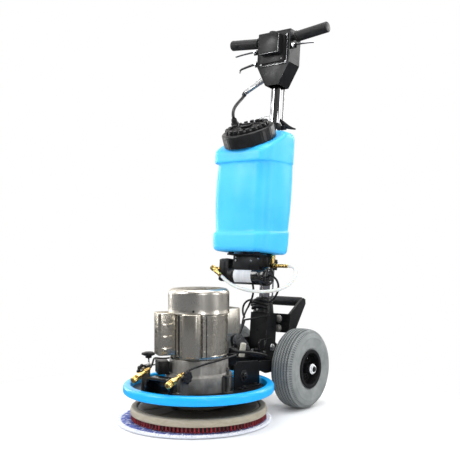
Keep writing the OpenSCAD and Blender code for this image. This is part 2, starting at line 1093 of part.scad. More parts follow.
module pump_fittings() {
    color("#d2a23a")
        on_handle()
            translate([0, pump_y, pump_z]) {
                // left elbow, with the barb pointing down and inwards
                translate([0, -18, 19])
                    rod_x(5.5, -118, -104.1);
                translate([-114, -18, 19])
                    rotate([90, 0, 0])
                        cylinder(r = 5.5, h = 16);
                translate([-120, -34, 19])
                    rotate([0, 123, 0]) {
                        cylinder(r = 7, h = 12);
                        cylinder(r = 5.8, h = 34);
                        translate([0, 0, 34])
                            cylinder(r = 4.2, h = 9);
                    }
                // right barb on the tank outlet
                translate([66, 30, 36])
                    rod_x(6.4, 0, 36);
                translate([66, 30, 36])
                    rod_x(4.2, 36, 66);
                translate([72, 30, 36])
                    cylinder(r = 5.5, h = 38.8);
            }
}

module solution_hose() {
    color("#e9e8e2", 0.8)
        on_handle()
            hose([
                [[138, -69, 265], [182, -72, 270], [190, -88, 200], [110, -118, 184]],
                [[110, -118, 184], [50, -140, 172], [-22, -146, 182], [-79.5, -133, 221.7]]
            ], 4.8, 8);
}

module handle_cords() {
    color("#141516")
        on_handle() {
            hose([[[89.2, -99, 230], [116, -97, 222], [96, -60, 176], [48, -38, 120]]], 2.6, 6);
            hose([[[20, -99, 197], [10, -96, 172], [-30, -66, 164], [-36, -42, 112]]], 2.6, 6);
            hose([[[48, -38, 120], [44, -36, 112], [42, -34, 100], [41, -32, 90]]], 2.6, 3);
            // air hose from the stub to the tank's shoulder
            hose([[[-128, stub_y, 873], [-140, -30, 858], [-112, -90, 830], [-90, -117.3, 764.3]]], 5, 9);
        }
}

module tank() {
    // the body steps in under the upper band, and the lower band stands out a little from it
    back = tank_back;
    top_front = tank_front - 6;
    body_front = tank_front + 8;
    body_w = tank_w - 12;
    wall = 3.5;
    peak = 720;
    corner = 34;
    color("#46b9f2")
        on_handle()
            difference() {
                union() {
                    difference() {
                        union() {
                            translate([0, 0, tank_z])
                                linear_extrude(height = peak - tank_z)
                                    round_rect(body_w, body_front, back, corner + 8);
                            translate([0, 0, tank_z])
                                linear_extrude(height = 62)
                                    round_rect(body_w + 3, body_front - 3, back, corner);
                            translate([0, 0, 593])
                                linear_extrude(height = peak - 593)
                                    round_rect(tank_w, top_front, back, corner);
                        }
                        lid_frame()
                            translate([-150, -200, 0])
                                cube([300, 290, 200]);
                    }
                    lid_frame()
                        translate([0, 0, -12])
                            cylinder(r = neck_r, h = 34);
                    // air port on the shoulder
                    lid_frame()
                        translate([-90, 60, -3])
                            cylinder(r = 7.5, h = 74);
                }
                difference() {
                    translate([0, 0, tank_z + wall])
                        linear_extrude(height = peak - tank_z - 2 * wall)
                            round_rect(body_w - 2 * wall, body_front + wall, back - 10, corner);
                    lid_frame()
                        translate([-150, -200, -wall])
                            cube([300, 600, 200]);
                }
                lid_frame()
                    translate([0, 0, -40])
                        cylinder(r = neck_r - 5, h = 80);
                translate([0, 0, tank_z - 10])
                    cylinder(r = tube_r + 1.5, h = 500);
            }
}

module tank_lid() {
    ribs = 36;
    r = lid_d / 2;
    color("#141516")
        on_lid()
            difference() {
                union() {
                    translate([0, 0, 1])
                        cylinder(r = r, h = lid_h - 1);
                    translate([0, 0, lid_h])
                        cylinder(r1 = r, r2 = r - 6, h = 4);
                    translate([0, 0, lid_h + 4])
                        cylinder(r = 56, h = 5);
                    translate([0, 0, lid_h + 9])
                        cylinder(r = 34, h = 4);
                    for (i = [0:ribs - 1])
                        rotate(360 * i / ribs)
                            translate([r - 24, -1.6, lid_h + 3])
                                cube([14, 3.2, 3.4]);
                }
                translate([0, 0, -eps])
                    cylinder(r = neck_r + 0.08, h = 24);
                translate([0, 0, -eps])
                    cylinder(r = 14 + run_gap, h = 80);
            }
}

module vent_plug() {
    color("#1b1c1e")
        on_lid() {
            translate([0, 0, 26])
                cylinder(r = 14, h = lid_h - 11);
            translate([0, 0, lid_h + 13.2])
                cylinder(r = 21, h = 5);
            translate([-17, -3.5, lid_h + 18])
                cube([34, 7, 9]);
        }
}

// outline of the control box as seen from the front, shrunk by s on each side
function box_outline(s) = [
    [-box_w / 2 + s, box_top - s], [box_w / 2 - s, box_top - s], [box_w / 2 - s, box_waist + s * 0.5],
    [box_foot - s, box_z], [-box_foot + s, box_z], [-box_w / 2 + s, box_waist + s * 0.5]
];

module box_prism(y1, y2, s) {
    translate([0, y2, 0])
        rotate([90, 0, 0])
            linear_extrude(height = y2 - y1)
                polygon(box_outline(s));
}

// an ear on the control box's side with a pin along Y, for a lever at x, y, z
module lever_pin(x, y, z, r, side) {
    ear_y = y + 6;
    translate([min(x, side * 64) - (side < 0 ? 9 : 0), ear_y, z - 9])
        cube([abs(x - side * 64) + 9, 4, 18]);
    translate([x, ear_y + 1, z])
        rotate([90, 0, 0])
            cylinder(r = r, h = 13.5);
}

module control_box() {
    wall = 2;
    color("#1a1b1d")
        on_handle() {
            // ears with the pivot pins of the triggers and of the release lever
            for (side = [-1, 1])
                lever_pin(side * trigger_x, trigger_y, trigger_z, 2.5, side);
            lever_pin(release_x, release_y, release_z, 3, -1);
            difference() {
                box_prism(-32, 33, 0);
                box_prism(-30, 31, wall);
                translate([-box_foot + wall, -30, box_z - 5])
                    cube([2 * box_foot - 2 * wall, 61, 10]);
                for (side = [-1, 1])
                    translate([side * 60, grip_y, grip_z])
                        rotate([0, side * (90 - grip_rise), 0])
                            translate([0, 0, -10])
                                cylinder(r = 11 + run_gap, h = 40);
                translate([-36, stub_y, 917])
                    rotate([0, -115, 0])
                        cylinder(r = 6.6, h = 60, center = true);
                translate([button_x, button_y, box_top - 5])
                    cylinder(r = 7 + run_gap, h = 10);
            }
        }
}

module box_cover() {
    // flanged cover with a raised panel and a hollow square boss
    boss_w = 78;
    boss_h = 67;
    skin = 2;
    color("#222426")
        on_handle()
            difference() {
                union() {
                    translate([-50, -36, 955])
                        cube([108, 3.8, 105]);
                    translate([-42, -42, 962])
                        cube([93, 7, 93]);
                    translate([-36, -67, 988])
                        cube([boss_w, 26, boss_h]);
                }
                translate([skin - 36, skin - 67, 988 + skin])
                    cube([boss_w - 2 * skin, 40, boss_h - 2 * skin]);
            }
    color("#c4c6c8")
        on_handle()
            for (x = [-46, 54], z = [959, 1053])
                translate([x, -36, z])
                    rotate([90, 0, 0])
                        dome_head(3.6, 2.6);
}

// the frame of one side's grip: Z runs out along the grip
module on_grip(side) {
    on_handle()
        translate([side * 60, grip_y, grip_z])
            rotate([0, side * (90 - grip_rise), 0])
                children();
}

module grip_bar() {
    color("#1a1b1d")
        union() {
            for (side = [-1, 1])
                on_grip(side)
                    translate([0, 0, -6])
                        cylinder(r = 11, h = 142);
            on_handle()
                translate([0, grip_y, grip_z - 0.5])
                    rod_x(9, -60, 60);
        }
}

module grips() {
    color("#0f1011")
        for (side = [-1, 1])
            on_grip(side)
                difference() {
                    union() {
                        translate([0, 0, 20])
                            cylinder(d = grip_d, h = 119);
                        translate([0, 0, 18])
                            cylinder(d = grip_d + 4, h = 4);
                    }
                    translate([0, 0, 10])
                        cylinder(r = 11.05, h = 126.2);
                }
}

// thin chromed lever under a grip, on a pivot along Y
module trigger(side) {
    color("#c9cbcd")
        on_handle()
            mirror([side < 0 ? 1 : 0, 0, 0])
                translate([trigger_x, trigger_y, trigger_z]) {
                    difference() {
                        union() {
                            translate([0, 2, 0])
                                rotate([90, 0, 0])
                                    cylinder(r = 6, h = 4);
                            rotate([0, 5, 0])
                                translate([0, -5, -2])
                                    cube([88, 10, 3]);
                        }
                        translate([0, 10, 0])
                            rotate([90, 0, 0])
                                cylinder(r = 2.5 + run_gap, h = 20);
                    }
                }
}

module trigger_left() {
    trigger(-1);
}

module trigger_right() {
    trigger(1);
}

module release_lever() {
    // hooked lever under the left grip that withdraws the tilt lock
    color("#141516")
        on_handle()
            translate([release_x, release_y, release_z])
                difference() {
                    union() {
                        translate([0, 4, 0])
                            rotate([90, 0, 0])
                                cylinder(r = 8, h = 8);
                        rotate([0, -9, 0])
                            translate([-62, -4, -4])
                                cube([62, 8, 7]);
                        rotate([0, -9, 0])
                            translate([-68, -4, -12])
                                cube([8, 8, 15]);
                    }
                    translate([0, 10, 0])
                        rotate([90, 0, 0])
                            cylinder(r = 3 + run_gap, h = 20);
                }
}

module lock_plunger() {
    color("#9a9c9f")
        on_handle()
            translate([0, plunger_pos[0], plunger_pos[1]]) {
                rod_x(plunger_r, -2, yoke_x + yoke_t + 3);
                rod_x(8, -8, -2);
            }
}

module power_button() {
    // boot of the push switch on the box's top
    color("#1b1c1e")
        on_handle()
            translate([button_x, button_y, box_top - 14]) {
                cylinder(r = 7, h = 28);
                cylinder(r = 10, h = 5);
                translate([0, 0, 18])
                    cylinder(r = 15, h = 12);
            }
}

deck();
bumper_ring();
gear_housing();
ring_gear();
motor_shell();
motor_stator();
motor_cap();
capacitor_covers();
capacitors();
junction_box();
pivot_cheeks();
head_bolts();
spray_jets();
head_brackets();
spray_hoses();
front_guard();
head_bearings();
planet_carrier();
clutch_plate();
driver_block();
brush_bristles();
bonnet_pad();
motor_rotor();
motor_fan();
planet_gear_a();
planet_gear_b();
planet_gear_c();
jet_knob_left();
jet_knob_right();
clamp_knob();
carriage_frame();
axle();
carriage_hardware();
cord_plugs();
tyre_left();
rim_left();
tyre_right();
rim_right();
handle_column();
handle_tube();
grab_handle();
handle_bolts();
pump_motor();
pump_head();
pump_bracket();
pump_fittings();
solution_hose();
handle_cords();
tank();
tank_lid();
vent_plug();
control_box();
box_cover();
grip_bar();
grips();
trigger_left();
trigger_right();
release_lever();
lock_plunger();
power_button();
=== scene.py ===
"""Looks of the rotary floor machine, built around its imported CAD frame. Units: metres."""

import json
import math
import random

import bmesh
import bpy
from mathutils import Matrix, Vector, noise


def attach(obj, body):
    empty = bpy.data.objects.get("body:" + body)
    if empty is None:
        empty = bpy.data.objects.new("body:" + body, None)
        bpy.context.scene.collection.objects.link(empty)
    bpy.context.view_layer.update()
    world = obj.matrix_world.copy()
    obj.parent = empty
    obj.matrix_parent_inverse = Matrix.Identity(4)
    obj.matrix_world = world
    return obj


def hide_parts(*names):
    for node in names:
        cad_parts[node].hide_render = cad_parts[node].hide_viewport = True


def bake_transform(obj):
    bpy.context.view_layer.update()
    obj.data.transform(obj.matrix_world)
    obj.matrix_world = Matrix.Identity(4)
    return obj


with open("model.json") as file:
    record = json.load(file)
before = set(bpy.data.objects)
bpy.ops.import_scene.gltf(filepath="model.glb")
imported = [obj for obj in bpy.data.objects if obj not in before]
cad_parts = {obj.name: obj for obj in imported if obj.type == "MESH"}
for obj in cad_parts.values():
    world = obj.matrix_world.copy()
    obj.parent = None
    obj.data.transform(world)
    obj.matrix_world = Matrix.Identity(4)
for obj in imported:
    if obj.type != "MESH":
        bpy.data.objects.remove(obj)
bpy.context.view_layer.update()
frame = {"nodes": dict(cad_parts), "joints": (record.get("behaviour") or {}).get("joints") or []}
rng = random.Random(17)
TAU = 2 * math.pi
MM = 0.001
LEAN = math.radians(6)
LID_TILT = math.radians(30)


def joint(name):
    return next(j for j in frame["joints"] if j["name"] == name)


def rot(angle, axis):
    return Matrix.Rotation(angle, 4, axis)


def move(x, y, z):
    """A translation given in millimetres."""
    return Matrix.Translation(Vector((x, y, z)) * MM)


HANDLE = Matrix.Translation(joint("handle_tilt")["pos_m"]) @ rot(-LEAN, "X")
LID = HANDLE @ move(0, -131, 668) @ rot(LID_TILT, "X")
ALONG_X = rot(math.pi / 2, "Y")
UP = Matrix.Identity(4)
SIDE = Matrix(((0, 0, 1, 0), (1, 0, 0, 0), (0, 1, 0, 0), (0, 0, 0, 1)))   # XY drawn on the YZ plane


# ---------------------------------------------------------------- materials

class Shader:
    """A Principled material, built node by node. Patterns use object space, in metres."""

    def __init__(self, name, color, rough, metal=0.0, **inputs):
        self.mat = bpy.data.materials.new(name)
        self.mat.use_nodes = True
        self.tree = self.mat.node_tree
        self.bsdf = self.tree.nodes["Principled BSDF"]
        self.coords = self.add("ShaderNodeTexCoord").outputs["Object"]
        self.height = None
        self.put(self.bsdf.inputs["Base Color"], color)
        self.put(self.bsdf.inputs["Roughness"], rough)
        self.put(self.bsdf.inputs["Metallic"], metal)
        for key, value in inputs.items():
            self.put(self.bsdf.inputs[key.replace("_", " ")], value)

    def add(self, kind, **props):
        node = self.tree.nodes.new(kind)
        for key, value in props.items():
            setattr(node, key, value)
        return node

    def put(self, socket, value):
        if isinstance(value, bpy.types.NodeSocket):
            self.tree.links.new(value, socket)
        elif isinstance(value, tuple) and len(value) == 3 and socket.type == "RGBA":
            socket.default_value = (*value, 1)
        else:
            socket.default_value = value

    def noise(self, scale, detail=3.0, rough=0.5, stretch=(1, 1, 1), warp=0.0):
        place = self.add("ShaderNodeMapping")
        self.put(place.inputs["Vector"], self.coords)
        place.inputs["Scale"].default_value = stretch
        node = self.add("ShaderNodeTexNoise")
        self.put(node.inputs["Vector"], place.outputs[0])
        for key, value in (("Scale", scale), ("Detail", detail), ("Roughness", rough), ("Distortion", warp)):
            node.inputs[key].default_value = value
        return node.outputs["Fac"]

    def cells(self, scale, feature="F1"):
        node = self.add("ShaderNodeTexVoronoi", feature=feature)
        self.put(node.inputs["Vector"], self.coords)
        node.inputs["Scale"].default_value = scale
        return node.outputs["Distance"]

    def remap(self, value, low, high, to_low=0.0, to_high=1.0):
        node = self.add("ShaderNodeMapRange")
        for socket, v in zip(node.inputs[:5], (value, low, high, to_low, to_high)):
            self.put(socket, v)
        return node.outputs[0]

    def math(self, op, a, b=0.0):
        node = self.add("ShaderNodeMath", operation=op)
        self.put(node.inputs[0], a)
        self.put(node.inputs[1], b)
        return node.outputs[0]

    def mix(self, share, a, b):
        node = self.add("ShaderNodeMix", data_type="RGBA")
        self.put(node.inputs["Factor"], share)
        self.put(node.inputs[6], a if not isinstance(a, tuple) else (*a, 1))
        self.put(node.inputs[7], b if not isinstance(b, tuple) else (*b, 1))
        return node.outputs[2]

    def bump(self, height, depth, strength=1.0):
        """Adds relief of the given depth, in metres, on top of any relief so far."""
        node = self.add("ShaderNodeBump")
        node.inputs["Strength"].default_value = strength
        node.inputs["Distance"].default_value = depth
        self.put(node.inputs["Height"], height)
        if self.height is not None:
            self.put(node.inputs["Normal"], self.height)
        self.height = node.outputs[0]
        self.put(self.bsdf.inputs["Normal"], self.height)

    def edges(self, radius):
        """1 along edges sharper than about the radius, 0 on flats."""
        bevel = self.add("ShaderNodeBevel", samples=4)
        bevel.inputs["Radius"].default_value = radius
        shape = self.add("ShaderNodeNewGeometry")
        dot = self.add("ShaderNodeVectorMath", operation="DOT_PRODUCT")
        self.put(dot.inputs[0], bevel.outputs[0])
        self.put(dot.inputs[1], shape.outputs["Normal"])
        return self.remap(dot.outputs["Value"], 0.97, 0.80)

    def set(self, key, value):
        self.put(self.bsdf.inputs[key], value)


def powder_coat(name="powder_coat"):
    """Satin black powder coat: orange-peel relief, dust, bare metal on worn edges."""
    s = Shader(name, (0.008, 0.0085, 0.009), 0.36, Specular_IOR_Level=0.22)
    worn = s.math("MULTIPLY", s.edges(0.0011), s.remap(s.noise(60, 4), 0.45, 0.66))
    dust = s.remap(s.noise(14, 5, 0.65), 0.42, 0.75)
    paint = s.mix(dust, (0.006, 0.0062, 0.007), (0.014, 0.0142, 0.015))
    s.set("Base Color", s.mix(worn, paint, (0.3, 0.3, 0.3)))
    s.set("Metallic", s.math("MULTIPLY", worn, 0.9))
    s.set("Roughness", s.remap(s.noise(30, 4), 0.3, 0.7, 0.26, 0.42))
    s.bump(s.noise(900, 2), 0.0001, 0.4)
    return s.mat


def enamel():
    """Gloss black enamel of the pump's can."""
    s = Shader("gloss_enamel", (0.005, 0.005, 0.006), 0.16, Coat_Weight=0.5, Coat_Roughness=0.08)
    s.set("Roughness", s.remap(s.noise(40, 4), 0.3, 0.7, 0.14, 0.3))
    s.bump(s.noise(220, 2), 0.00008, 0.4)
    return s.mat


def stainless(name, color, rough, streak=(1, 1, 0.04)):
    """Polished stainless sheet: fine drawn grain, smudges, faint heat tint."""
    s = Shader(name, color, rough, 1.0, Anisotropic=0.35, Specular_Tint=(0.5, 0.48, 0.44))
    grain = s.noise(1400, 2, 0.6, streak)
    smudge = s.remap(s.noise(16, 5, 0.6, warp=0.6), 0.4, 0.72)
    tint = s.mix(s.noise(7, 3), tuple(c * 1.06 for c in color), (color[0] * 0.95, color[1] * 0.9, color[2] * 0.84))
    s.set("Base Color", s.mix(s.math("MULTIPLY", smudge, 0.25), tint, tuple(c * 0.75 for c in color)))
    s.set("Roughness", s.math("ADD", s.remap(grain, 0.3, 0.7, rough - 0.05, rough + 0.05),
                              s.math("MULTIPLY", smudge, 0.14)))
    s.bump(s.noise(9, 1), 0.0006, 0.08)
    return s.mat


def cast_grey(name="cast_grey", shade=1.0):
    """Satin grey casting with fine pits and patches of grime."""
    s = Shader(name, (0.27, 0.26, 0.245), 0.45, 0.55)
    grime = s.remap(s.noise(24, 6, 0.65), 0.42, 0.72)
    clean = (0.30 * shade, 0.29 * shade, 0.27 * shade)
    s.set("Base Color", s.mix(grime, clean, (0.17 * shade, 0.16 * shade, 0.145 * shade)))
    s.set("Roughness", s.remap(s.noise(70, 4), 0.3, 0.7, 0.34, 0.56))
    s.bump(s.noise(500, 4, 0.7), 0.00025, 0.5)
    return s.mat


def machined():
    """Oiled machined steel, for gears, shafts and bearings."""
    s = Shader("machined_steel", (0.42, 0.42, 0.43), 0.3, 1.0)
    s.set("Roughness", s.remap(s.noise(120, 3, 0.5, (1, 1, 6)), 0.3, 0.7, 0.2, 0.42))
    s.set("Base Color", s.mix(s.noise(40, 4), (0.36, 0.35, 0.34), (0.52, 0.52, 0.53)))
    s.bump(s.noise(700, 2, 0.5, (1, 1, 8)), 0.00004, 0.4)
    return s.mat


def zinc():
    """Zinc-plated hardware with a faint mottled bloom."""
    s = Shader("zinc_plate", (0.62, 0.63, 0.65), 0.26, 1.0)
    s.set("Base Color", s.mix(s.noise(90, 4), (0.5, 0.5, 0.5), (0.72, 0.73, 0.75)))
    s.set("Roughness", s.remap(s.noise(150, 3), 0.3, 0.7, 0.18, 0.4))
    s.bump(s.noise(400, 2), 0.00006, 0.4)
    return s.mat


def chrome():
    """Bright chrome plate with light smears."""
    s = Shader("chrome_plate", (0.52, 0.52, 0.54), 0.07, 1.0, Specular_Tint=(0.22, 0.22, 0.23))
    s.set("Roughness", s.remap(s.noise(24, 5, 0.6, (1, 1, 0.3)), 0.4, 0.75, 0.05, 0.2))
    s.bump(s.noise(60, 2, 0.5, (1, 1, 0.4)), 0.0002, 0.08)
    return s.mat


def brass():
    """Turned brass: bright lathe rings, slight tarnish."""
    s = Shader("turned_brass", (0.83, 0.58, 0.2), 0.22, 1.0)
    s.set("Base Color", s.mix(s.remap(s.noise(90, 5), 0.4, 0.75), (0.88, 0.63, 0.22), (0.55, 0.36, 0.12)))
    s.set("Roughness", s.remap(s.noise(260, 3), 0.3, 0.7, 0.14, 0.34))
    s.bump(s.noise(900, 2, 0.5, (0.2, 3, 1)), 0.00004, 0.5)
    return s.mat


def moulded(name, color, rough=0.45, grain=1500, depth=0.00008):
    """Injection-moulded plastic with a fine spark texture and handling shine."""
    s = Shader(name, color, rough, Specular_IOR_Level=0.3)
    shine = s.noise(18, 4)
    s.set("Base Color", s.mix(s.remap(shine, 0.35, 0.7), color, tuple(c * 1.5 + 0.002 for c in color)))
    s.set("Roughness", s.remap(shine, 0.3, 0.7, rough - 0.1, rough + 0.1))
    s.bump(s.noise(grain, 2, 0.6), depth, 0.6)
    return s.mat


def rubber():
    """Matt black rubber with a bloom and fine pores."""
    s = Shader("black_rubber", (0.008, 0.008, 0.0085), 0.55, Specular_IOR_Level=0.4)
    bloom = s.remap(s.noise(40, 5, 0.6), 0.4, 0.75)
    s.set("Base Color", s.mix(bloom, (0.006, 0.006, 0.0065), (0.018, 0.018, 0.019)))
    s.set("Roughness", s.remap(bloom, 0, 1, 0.42, 0.68))
    s.bump(s.noise(1100, 3, 0.6), 0.00012, 0.5)
    return s.mat


def bumper_blue():
    """Bright blue bumper: smooth, a little waxy, with scuffs along its nose."""
    s = Shader("bumper_blue", (0.002, 0.37, 0.86), 0.34, Subsurface_Weight=0.06,
               Subsurface_Radius=(0.002, 0.004, 0.008), Subsurface_Scale=0.5)
    scuff = s.remap(s.noise(55, 6, 0.7, (1, 1, 6)), 0.6, 0.78)
    s.set("Base Color", s.mix(s.math("MULTIPLY", scuff, 0.25), (0.002, 0.37, 0.86), (0.05, 0.42, 0.9)))
    s.set("Roughness", s.remap(scuff, 0, 1, 0.3, 0.52))
    s.bump(s.noise(300, 3), 0.00008, 0.4)
    return s.mat


def tank_blue():
    """Rotomoulded sky-blue plastic: semi-gloss, faint wall-thickness clouds, orange peel."""
    s = Shader("tank_blue", (0.04, 0.46, 0.93), 0.44, Subsurface_Weight=0.15,
               Subsurface_Radius=(0.004, 0.01, 0.02), Subsurface_Scale=0.6)
    cloud = s.noise(9, 3, 0.5, warp=0.4)
    s.set("Base Color", s.mix(s.remap(cloud, 0.3, 0.7), (0.03, 0.435, 0.92), (0.05, 0.49, 0.95)))
    s.set("Roughness", s.remap(s.noise(30, 4), 0.3, 0.7, 0.38, 0.5))
    s.bump(s.noise(420, 2), 0.00012, 0.35)
    s.bump(s.noise(16, 2), 0.0008, 0.25)
    return s.mat


def foam_tan():
    """Structural-foam driver block: swirl marks and mottled tan."""
    s = Shader("foam_tan", (0.36, 0.31, 0.235), 0.55)
    swirl = s.noise(28, 6, 0.65, (1, 1, 3), 1.4)
    s.set("Base Color", s.mix(s.remap(swirl, 0.3, 0.7), (0.30, 0.26, 0.19), (0.42, 0.37, 0.285)))
    s.set("Roughness", s.remap(swirl, 0.3, 0.7, 0.45, 0.65))
    s.bump(s.noise(600, 3), 0.00015, 0.5)
    return s.mat


def fibre(name, dark, light, rough=0.75):
    """Yarn or filament: colour varies from strand to strand by the mesh's tone attribute."""
    s = Shader(name, dark, rough, Sheen_Weight=0.35, Sheen_Roughness=0.4)
    tone = s.add("ShaderNodeAttribute", attribute_name="tone").outputs["Fac"]
    strand = s.math("ADD", tone, s.remap(s.noise(900, 3), 0.3, 0.7, -0.18, 0.18))
    s.set("Base Color", s.mix(strand, dark, light))
    s.bump(s.noise(2600, 2, 0.5), 0.0003, 0.6)
    return s.mat


def tyre_grey():
    """Non-marking grey foam tyre: dusty, finely pored, scuffed tread; the tone attribute paints shade into the grooves
    and sipes.
    """
    s = Shader("tyre_grey", (0.2, 0.215, 0.21), 0.68)
    dust = s.remap(s.noise(34, 6, 0.65), 0.38, 0.72)
    tone = s.add("ShaderNodeAttribute", attribute_name="tone").outputs["Fac"]
    dusty = s.mix(dust, (0.175, 0.19, 0.188), (0.255, 0.268, 0.262))
    # painted shade: tone 0 darkens the groove floors nearly to black, tone 0.25 darkens the sipes
    s.set("Base Color", s.mix(tone, (0.045, 0.052, 0.055), dusty))
    s.set("Roughness", s.remap(dust, 0, 1, 0.58, 0.78))
    s.bump(s.noise(1300, 3, 0.6), 0.00018, 0.6)
    return s.mat


def vinyl():
    """Milky translucent vinyl tube."""
    s = Shader("milky_vinyl", (0.7, 0.7, 0.66), 0.24, Subsurface_Weight=0.2, Subsurface_Scale=0.3)
    s.set("Base Color", s.mix(s.noise(30, 3), (0.62, 0.61, 0.57), (0.76, 0.75, 0.72)))
    s.set("Roughness", s.remap(s.noise(120, 3), 0.3, 0.7, 0.18, 0.34))
    return s.mat


def paper():
    """Blank rating plate: matt printed film with pale grey bands and no lettering."""
    s = Shader("blank_plate", (0.62, 0.63, 0.64), 0.5)
    s.set("Base Color", s.mix(s.remap(s.noise(60, 3, 0.5, (1, 0.1, 0.1)), 0.4, 0.6), (0.56, 0.57, 0.59), (0.72, 0.73, 0.74)))
    s.bump(s.noise(500, 2), 0.00003, 0.4)
    return s.mat


MAT = {
    "black_steel": powder_coat(),
    "black_gloss": enamel(),
    "stainless": stainless("stainless_sheet", (0.74, 0.71, 0.64), 0.24),
    "stainless_cap": stainless("stainless_cap", (0.80, 0.78, 0.73), 0.25, (0.3, 0.3, 3)),
    "cast_housing": cast_grey(),
    "cast_bracket": cast_grey("cast_bracket", 0.38),
    "gear_steel": machined(),
    "zinc_hardware": zinc(),
    "chrome_tube": chrome(),
    "brass": brass(),
    "black_plastic": moulded("black_plastic", (0.007, 0.007, 0.0075), 0.38),
    "clutch_plastic": moulded("clutch_plastic", (0.075, 0.066, 0.052), 0.5, 700, 0.0002),
    "grey_plastic": moulded("grey_plastic", (0.035, 0.037, 0.04), 0.34),
    "cap_plastic": moulded("ivory_plastic", (0.46, 0.45, 0.39), 0.4),
    "copper": moulded("winding_copper", (0.45, 0.16, 0.05), 0.35, 900, 0.0004),
    "black_rubber": rubber(),
    "blue_bumper": bumper_blue(),
    "blue_tank": tank_blue(),
    "tan_block": foam_tan(),
    "red_bristle": fibre("red_bristle", (0.09, 0.002, 0.006), (0.34, 0.008, 0.02), 0.5),
    "bonnet_yarn": fibre("bonnet_yarn", (0.035, 0.075, 0.42), (0.90, 0.91, 0.95), 0.8),
    "grey_tyre": tyre_grey(),
    "black_rim": powder_coat("rim_coat"),
    # painted reflection: light grey plastic standing in for the hub nuts' bright plating
    "nut_painted_reflection": moulded("nut_painted_reflection", (0.60, 0.61, 0.62), 0.28),
    "bonnet_white": fibre("bonnet_white", (0.62, 0.64, 0.70), (0.88, 0.89, 0.92), 0.85),
    "clear_hose": vinyl(),
    "plate": paper(),
}


# ---------------------------------------------------------------- mesh tools

class Mesh:
    """Collects clean closed shapes in one bmesh. Lengths are in millimetres."""

    def __init__(self, at=UP):
        self.bm = bmesh.new()
        self.at = at

    def grid(self, rows, close_rows=False, close_cols=True, at=UP):
        """Skins a list of rows of points. A row of one point is a pole."""
        m = self.at @ at
        made = [[self.bm.verts.new(m @ (Vector(p) * MM)) for p in row] for row in rows]
        pairs = list(zip(made, made[1:]))
        if close_rows:
            pairs.append((made[-1], made[0]))
        for a, b in pairs:
            n = max(len(a), len(b))
            for i in range(n if close_cols else n - 1):
                quad = [a[i % len(a)], a[(i + 1) % len(a)], b[(i + 1) % len(b)], b[i % len(b)]]
                unique = list(dict.fromkeys(quad))
                if len(unique) > 2:
                    self.bm.faces.new(unique)
        return made

    def revolve(self, profile, n=96, at=UP, shape=None, closed=False):
        """Turns (r, z) points about Z. shape(angle, r, z) may return a new radius."""
        rows = []
        for r, z in profile:
            if r < 1e-6:
                rows.append([(0, 0, z)])
                continue
            row = []
            for i in range(n):
                a = TAU * i / n
                k = shape(a, r, z) if shape else r
                row.append((k * math.cos(a), k * math.sin(a), z))
            rows.append(row)
        self.grid(rows, closed, True, at)

    def sweep(self, points, radius, sides=14, at=UP, tip=True):
        """A round bar along points. radius is a number or a function of the share of its length."""
        pts = [Vector(p) for p in points]
        n = len(pts)
        tangents = [(pts[min(i + 1, n - 1)] - pts[max(i - 1, 0)]).normalized() for i in range(n)]
        side = tangents[0].orthogonal().normalized()
        rows = []
        for i, (p, t) in enumerate(zip(pts, tangents)):
            side = (side - t * side.dot(t)).normalized()
            other = t.cross(side)
            r = radius(i / (n - 1)) if callable(radius) else radius
            rows.append([p + (side * math.cos(TAU * k / sides) + other * math.sin(TAU * k / sides)) * r
                         for k in range(sides)])
        if tip:
            rows.insert(0, [pts[0]])
            rows.append([pts[-1]])
        self.grid(rows, False, True, at)

    def block(self, low, high, bevel=0.6, at=UP, segments=2):
        """A box between two corners, with its edges rounded."""
        low, high = Vector(low), Vector(high)
        bm = bmesh.new()
        bmesh.ops.create_cube(bm, size=1)
        for v in bm.verts:
            v.co = Vector(low[k] + (high[k] - low[k]) * (v.co[k] + 0.5) for k in range(3))
        self.join(bm, bevel, at, segments)

    def prism(self, outline, z0, z1, bevel=0.6, at=UP, segments=2, angle=30):
        """A flat outline drawn in XY, standing from z0 to z1, with its edges rounded."""
        bm = bmesh.new()
        base = bm.faces.new([bm.verts.new((x, y, z0)) for x, y in outline])
        top = bmesh.ops.extrude_face_region(bm, geom=[base])["geom"]
        for v in top:
            if isinstance(v, bmesh.types.BMVert):
                v.co.z = z1
        self.join(bm, bevel, at, segments, angle)

    def join(self, bm, bevel, at, segments=2, angle=20):
        bmesh.ops.recalc_face_normals(bm, faces=bm.faces)
        if bevel > 0:
            sharp = [e for e in bm.edges if e.calc_face_angle(0) > math.radians(angle)]
            bmesh.ops.bevel(bm, geom=sharp, offset=bevel, segments=segments, profile=0.5, affect="EDGES",
                            clamp_overlap=True)
        m = self.at @ at @ Matrix.Scale(MM, 4)
        bmesh.ops.transform(bm, matrix=m, verts=bm.verts)
        scratch = bpy.data.meshes.new("scratch")
        bm.to_mesh(scratch)
        bm.free()
        self.bm.from_mesh(scratch)
        bpy.data.meshes.remove(scratch)

    def done(self, name, material, body, *replaced, slot=None, angle=35, tones=None):
        """Makes the object, rides it on its body and hides the CAD nodes it stands for."""
        bmesh.ops.recalc_face_normals(self.bm, faces=self.bm.faces)
        mesh = bpy.data.meshes.new(name)
        self.bm.to_mesh(mesh)
        self.bm.free()
        mesh.materials.append(MAT[material])
        mesh.shade_smooth()
        mesh.set_sharp_from_angle(angle=math.radians(angle))
        if tones:
            mesh.attributes.new("tone", "FLOAT", "POINT").data.foreach_set("value", tones)
        obj = bpy.data.objects.new(name, mesh)
        bpy.context.scene.collection.objects.link(obj)
        if isinstance(body, str):
            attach(obj, body)
        else:
            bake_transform(obj)
        if replaced:
            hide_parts(*replaced)
        return obj


